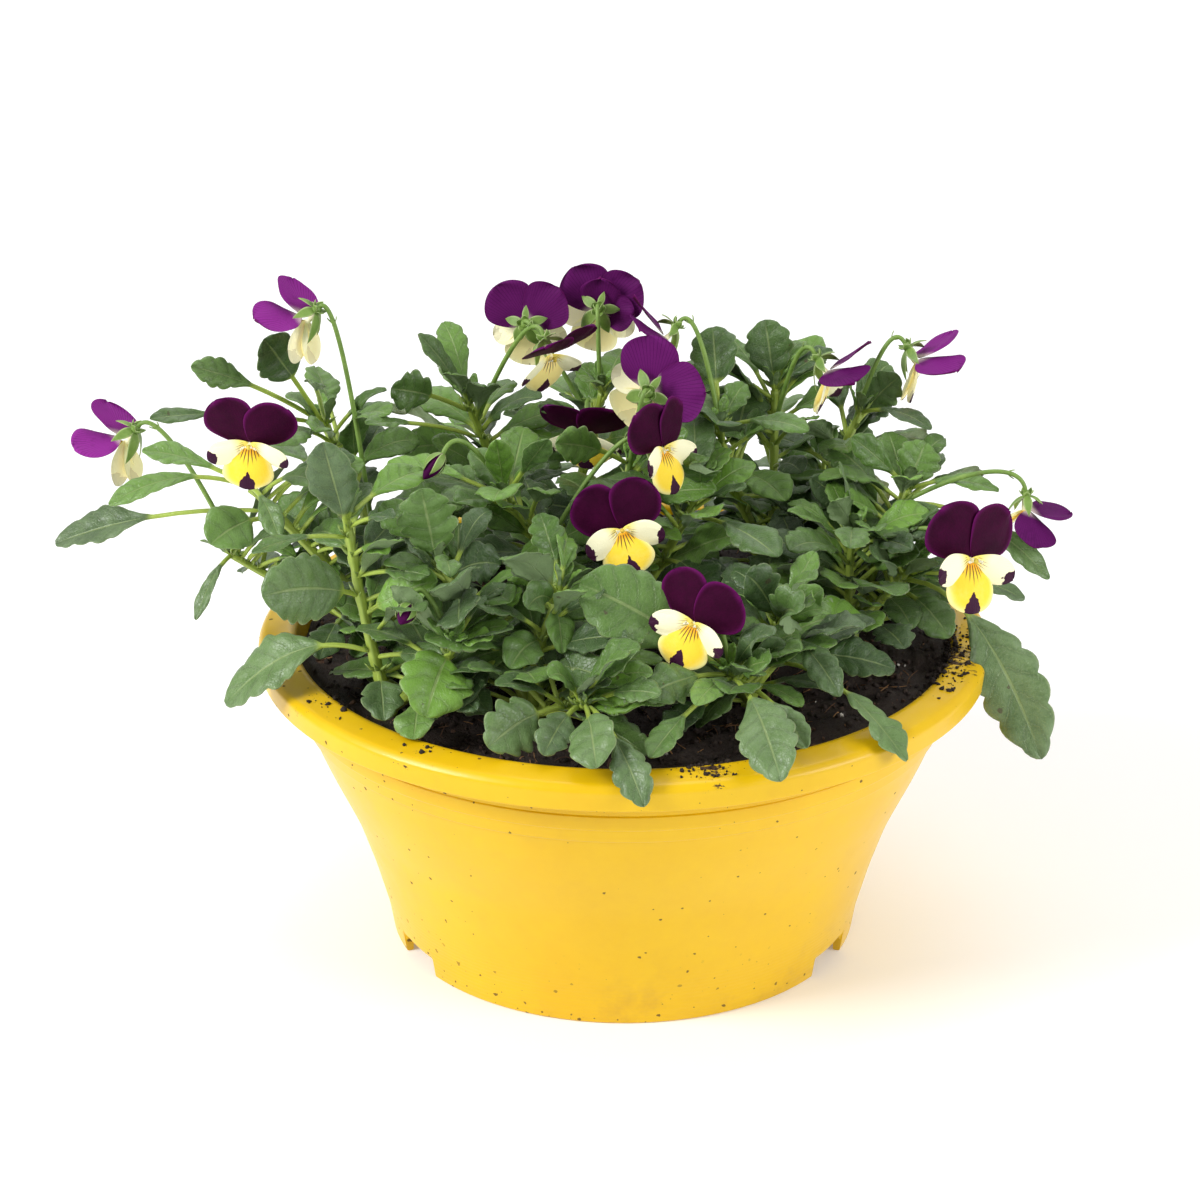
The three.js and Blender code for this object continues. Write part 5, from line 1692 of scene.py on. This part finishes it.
def makeFlower(number, flower):
    # Three pieces: the stalk with its sepals, the upper petals, and the side petals with the lip.
    random = np.random.default_rng(bloom["seed"] + number)
    node, piece = f"flower_{number:02d}", f"flower{number:02d}"
    closing = flower.get("closing", 0)
    green = [placed(part, flower) for part in calyxParts(random, closing)]
    depth = -bloom["receptacle"]
    green += [stalkPart(flower, depth)] + bracts(flower, depth, random)
    addPiece(piece + "Stalk", joinParts(green), [calyxMaterial], [node + "_stalk"])
    parting = math.copysign(bloom["parting"], flower["azimuth"]) * closing
    upperPetals = list(zip(bloom["upper"], (closing - parting, closing + parting)))
    for angle, length, folded in flower.get("extra", ()):
        petal = {**bloom["upper"][0], "angle": angle, "length": length, "width": length}
        upperPetals.append((petal, folded))
    upper = []
    for petal, folded in upperPetals:
        part = petalPart(petal, random, cup=0.06, ruffle=flower.get("ruffle", 0.85))
        part = placed(closedUp(part, folded), flower)
        # Each flower's share of the brighter back, partly painted light through the petals.
        part["values"]["bright"] = np.full(len(part["points"]), flower.get("brightBack", 0.2))
        upper.append(part)
    upper = joinParts(upper)
    addPiece(piece + "UpperPetals", upper, [velvetMaterial], [node + "_upper_petals"])
    lower = [petalPart(petal, random, cup=0.16, ruffle=0.45, twist=0.12) for petal in sidePetals(closing)]
    lip = {**bloom["lip"], "width": bloom["lip"]["width"] * (1 - bloom["narrowing"] * closing)}
    lower.append(petalPart(lip, random, slot=1, cup=0.2, ruffle=0.4, notch=1.1))
    spur = tubePart(bloom["spur"], np.array([0, 0.9, 1.05, 1.05, 1.0, 0.95, 1.0, 0.9, 0]), 12)
    lower.append(withValues(spur, margin=0.5, back=1))
    lower += throatParts(random)
    for part in lower:
        part["values"]["pale"] = np.full(len(part["points"]), flower.get("pale", 0.0))
    lower = joinParts([placed(part, flower) for part in lower])
    materials = [sideMaterial, lipMaterial, throatMaterial]
    addPiece(piece + "LowerPetals", lower, materials, [node + "_lower_petals"])


for number, flower in enumerate(flowers, start=1):
    makeFlower(number, flower)
print("flowers made")


def makeBud(number, bud):
    # A closed bud: five petals wound into a spindle, clasped by five sepals. The spindle's half
    # width grows and closes as a sine, with five low ridges that turn round it.
    rows, ring = 22, 20
    long = bud["length"] / 2
    t = np.linspace(0, 1, rows)
    places = np.stack([np.zeros(rows), np.zeros(rows), -long + 2 * long * t], -1)
    angle = ringAngles(ring)
    wound = 1 + 0.09 * np.cos(5 * angle[None] + 4 * t[:, None])
    half = 3 * np.sin(np.pi * t ** 0.85)[:, None] ** 0.75 * wound
    directions = np.broadcast_to(np.array([0, 0, 1.0]), places.shape)
    across, above = half * np.cos(angle), half * np.sin(angle)
    core = sweptPart(places, directions, np.array([0, 1.0, 0]), across, above)
    along = overRings(np.broadcast_to(t[:, None] * 0.5, half.shape))
    core["map"] = np.stack([np.full(len(along), 0.5), along], -1)
    core = placed(withValues(core, tip=0, edge=0, margin=0.7, back=0.6), bud)
    parts = [core]
    for i in range(5):
        turn = 2 * math.pi * i / 5 + 0.3
        outward = heading(turn)
        root = outward * 0.5 + (0, 0, -long)
        bend = outward * 5.4 + (0, 0, -long * 0.2)
        tip = outward * 2.2 + (0, 0, long * 0.6)
        parts.append(placed(pointedLobe(root, bend, tip, -outward, 1.5), bud))
    parts.append(stalkPart(bud, long - 1))
    for part in parts[1:]:
        part["slot"] = 1
        none = np.zeros(len(part["points"]))
        part["values"].update(margin=none, back=none)
    materials = [velvetMaterial, calyxMaterial]
    addPiece(f"bud{number}", joinParts(parts), materials, [f"bud_{number}"])


for number, bud in enumerate(buds, start=1):
    makeBud(number, bud)
print("buds made")


# Stage, light and camera, in metres, with the lens and its sensor in millimetres. A light is
# its place, aim, size and power in watts, and the back light brightens the floor behind. The
# camera looks down at its aim, and its rise is in degrees.
stage = {
    "floorColour": (0.9, 0.9, 0.9, 1.0),
    "floorShade": (0.88, 0.88, 0.88, 1.0),
    "floorHalfWidth": 8,
    "floorHeight": -0.0002,
    "worldStrength": 0.46,
    "lights": {
        "keyLight": ((-1.65, -0.75, 1.3), (0, 0, 0.12), 1.0, 42.0),
        "fillLight": ((1.6, -0.75, 0.75), (0, 0, 0.12), 1.0, 17.0),
        "topLight": ((0.2, 0.5, 1.8), (0, 0, 0.12), 1.2, 7.0),
        "backLight": ((0, 2.3, 1.6), (0, 1.9, 0), 2.4, 16.0),
    },
    "lens": 105.1,
    "sensorWidth": 36,
    "cameraRise": 23.145,
    "cameraDistance": 1.3,
    "cameraAim": (-0.0088, 0, 0.1294),
}


def makeFloor():
    mesh = bpy.data.meshes.new("floor")
    far, level = stage["floorHalfWidth"], stage["floorHeight"]
    corners = [(-far, -far, level), (far, -far, level), (far, far, level), (-far, far, level)]
    mesh.from_pydata(corners, [], [(0, 1, 2, 3)])
    floor = bpy.data.objects.new("floor", mesh)
    bpy.context.scene.collection.objects.link(floor)
    material, tree, shader = newMaterial("Pale floor", Specular_IOR_Level=0.2, Emission_Strength=0.16)
    grain = tree.noise(tree.place(), 3.0, 2.0)
    tree.feed(shader["Base Color"], tree.blend(grain, stage["floorShade"], stage["floorColour"]))
    tree.feed(shader["Roughness"], tree.sum("MULTIPLY_ADD", grain, 0.1, 0.65))
    mesh.materials.append(material)


def makeLight(name, place, aim, size, power):
    light = bpy.data.lights.new(name, "AREA")
    light.shape = "DISK"
    light.size = size
    light.energy = power
    lamp = bpy.data.objects.new(name, light)
    lamp.location = place
    lamp.rotation_euler = (Vector(aim) - Vector(place)).to_track_quat("-Z", "Y").to_euler()
    bpy.context.scene.collection.objects.link(lamp)


def makeCamera():
    lens = bpy.data.cameras.new("camera")
    lens.lens = stage["lens"]
    lens.sensor_width = stage["sensorWidth"]
    camera = bpy.data.objects.new("camera", lens)
    rise, distance = math.radians(stage["cameraRise"]), stage["cameraDistance"]
    away = Vector((0, -math.cos(rise), math.sin(rise)))
    camera.location = Vector(stage["cameraAim"]) + distance * away
    camera.rotation_euler = (math.pi / 2 - rise, 0, 0)
    bpy.context.scene.collection.objects.link(camera)
    bpy.context.scene.camera = camera


makeFloor()
for name, settings in stage["lights"].items():
    makeLight(name, *settings)
makeCamera()
world = bpy.data.worlds.new("studio")
bpy.context.scene.world = world
world.use_nodes = True
background = world.node_tree.nodes["Background"].inputs
background["Color"].default_value = (1, 1, 1, 1)
background["Strength"].default_value = stage["worldStrength"]
bpy.context.scene.view_settings.view_transform = "Standard"
print("stage, light and camera made")
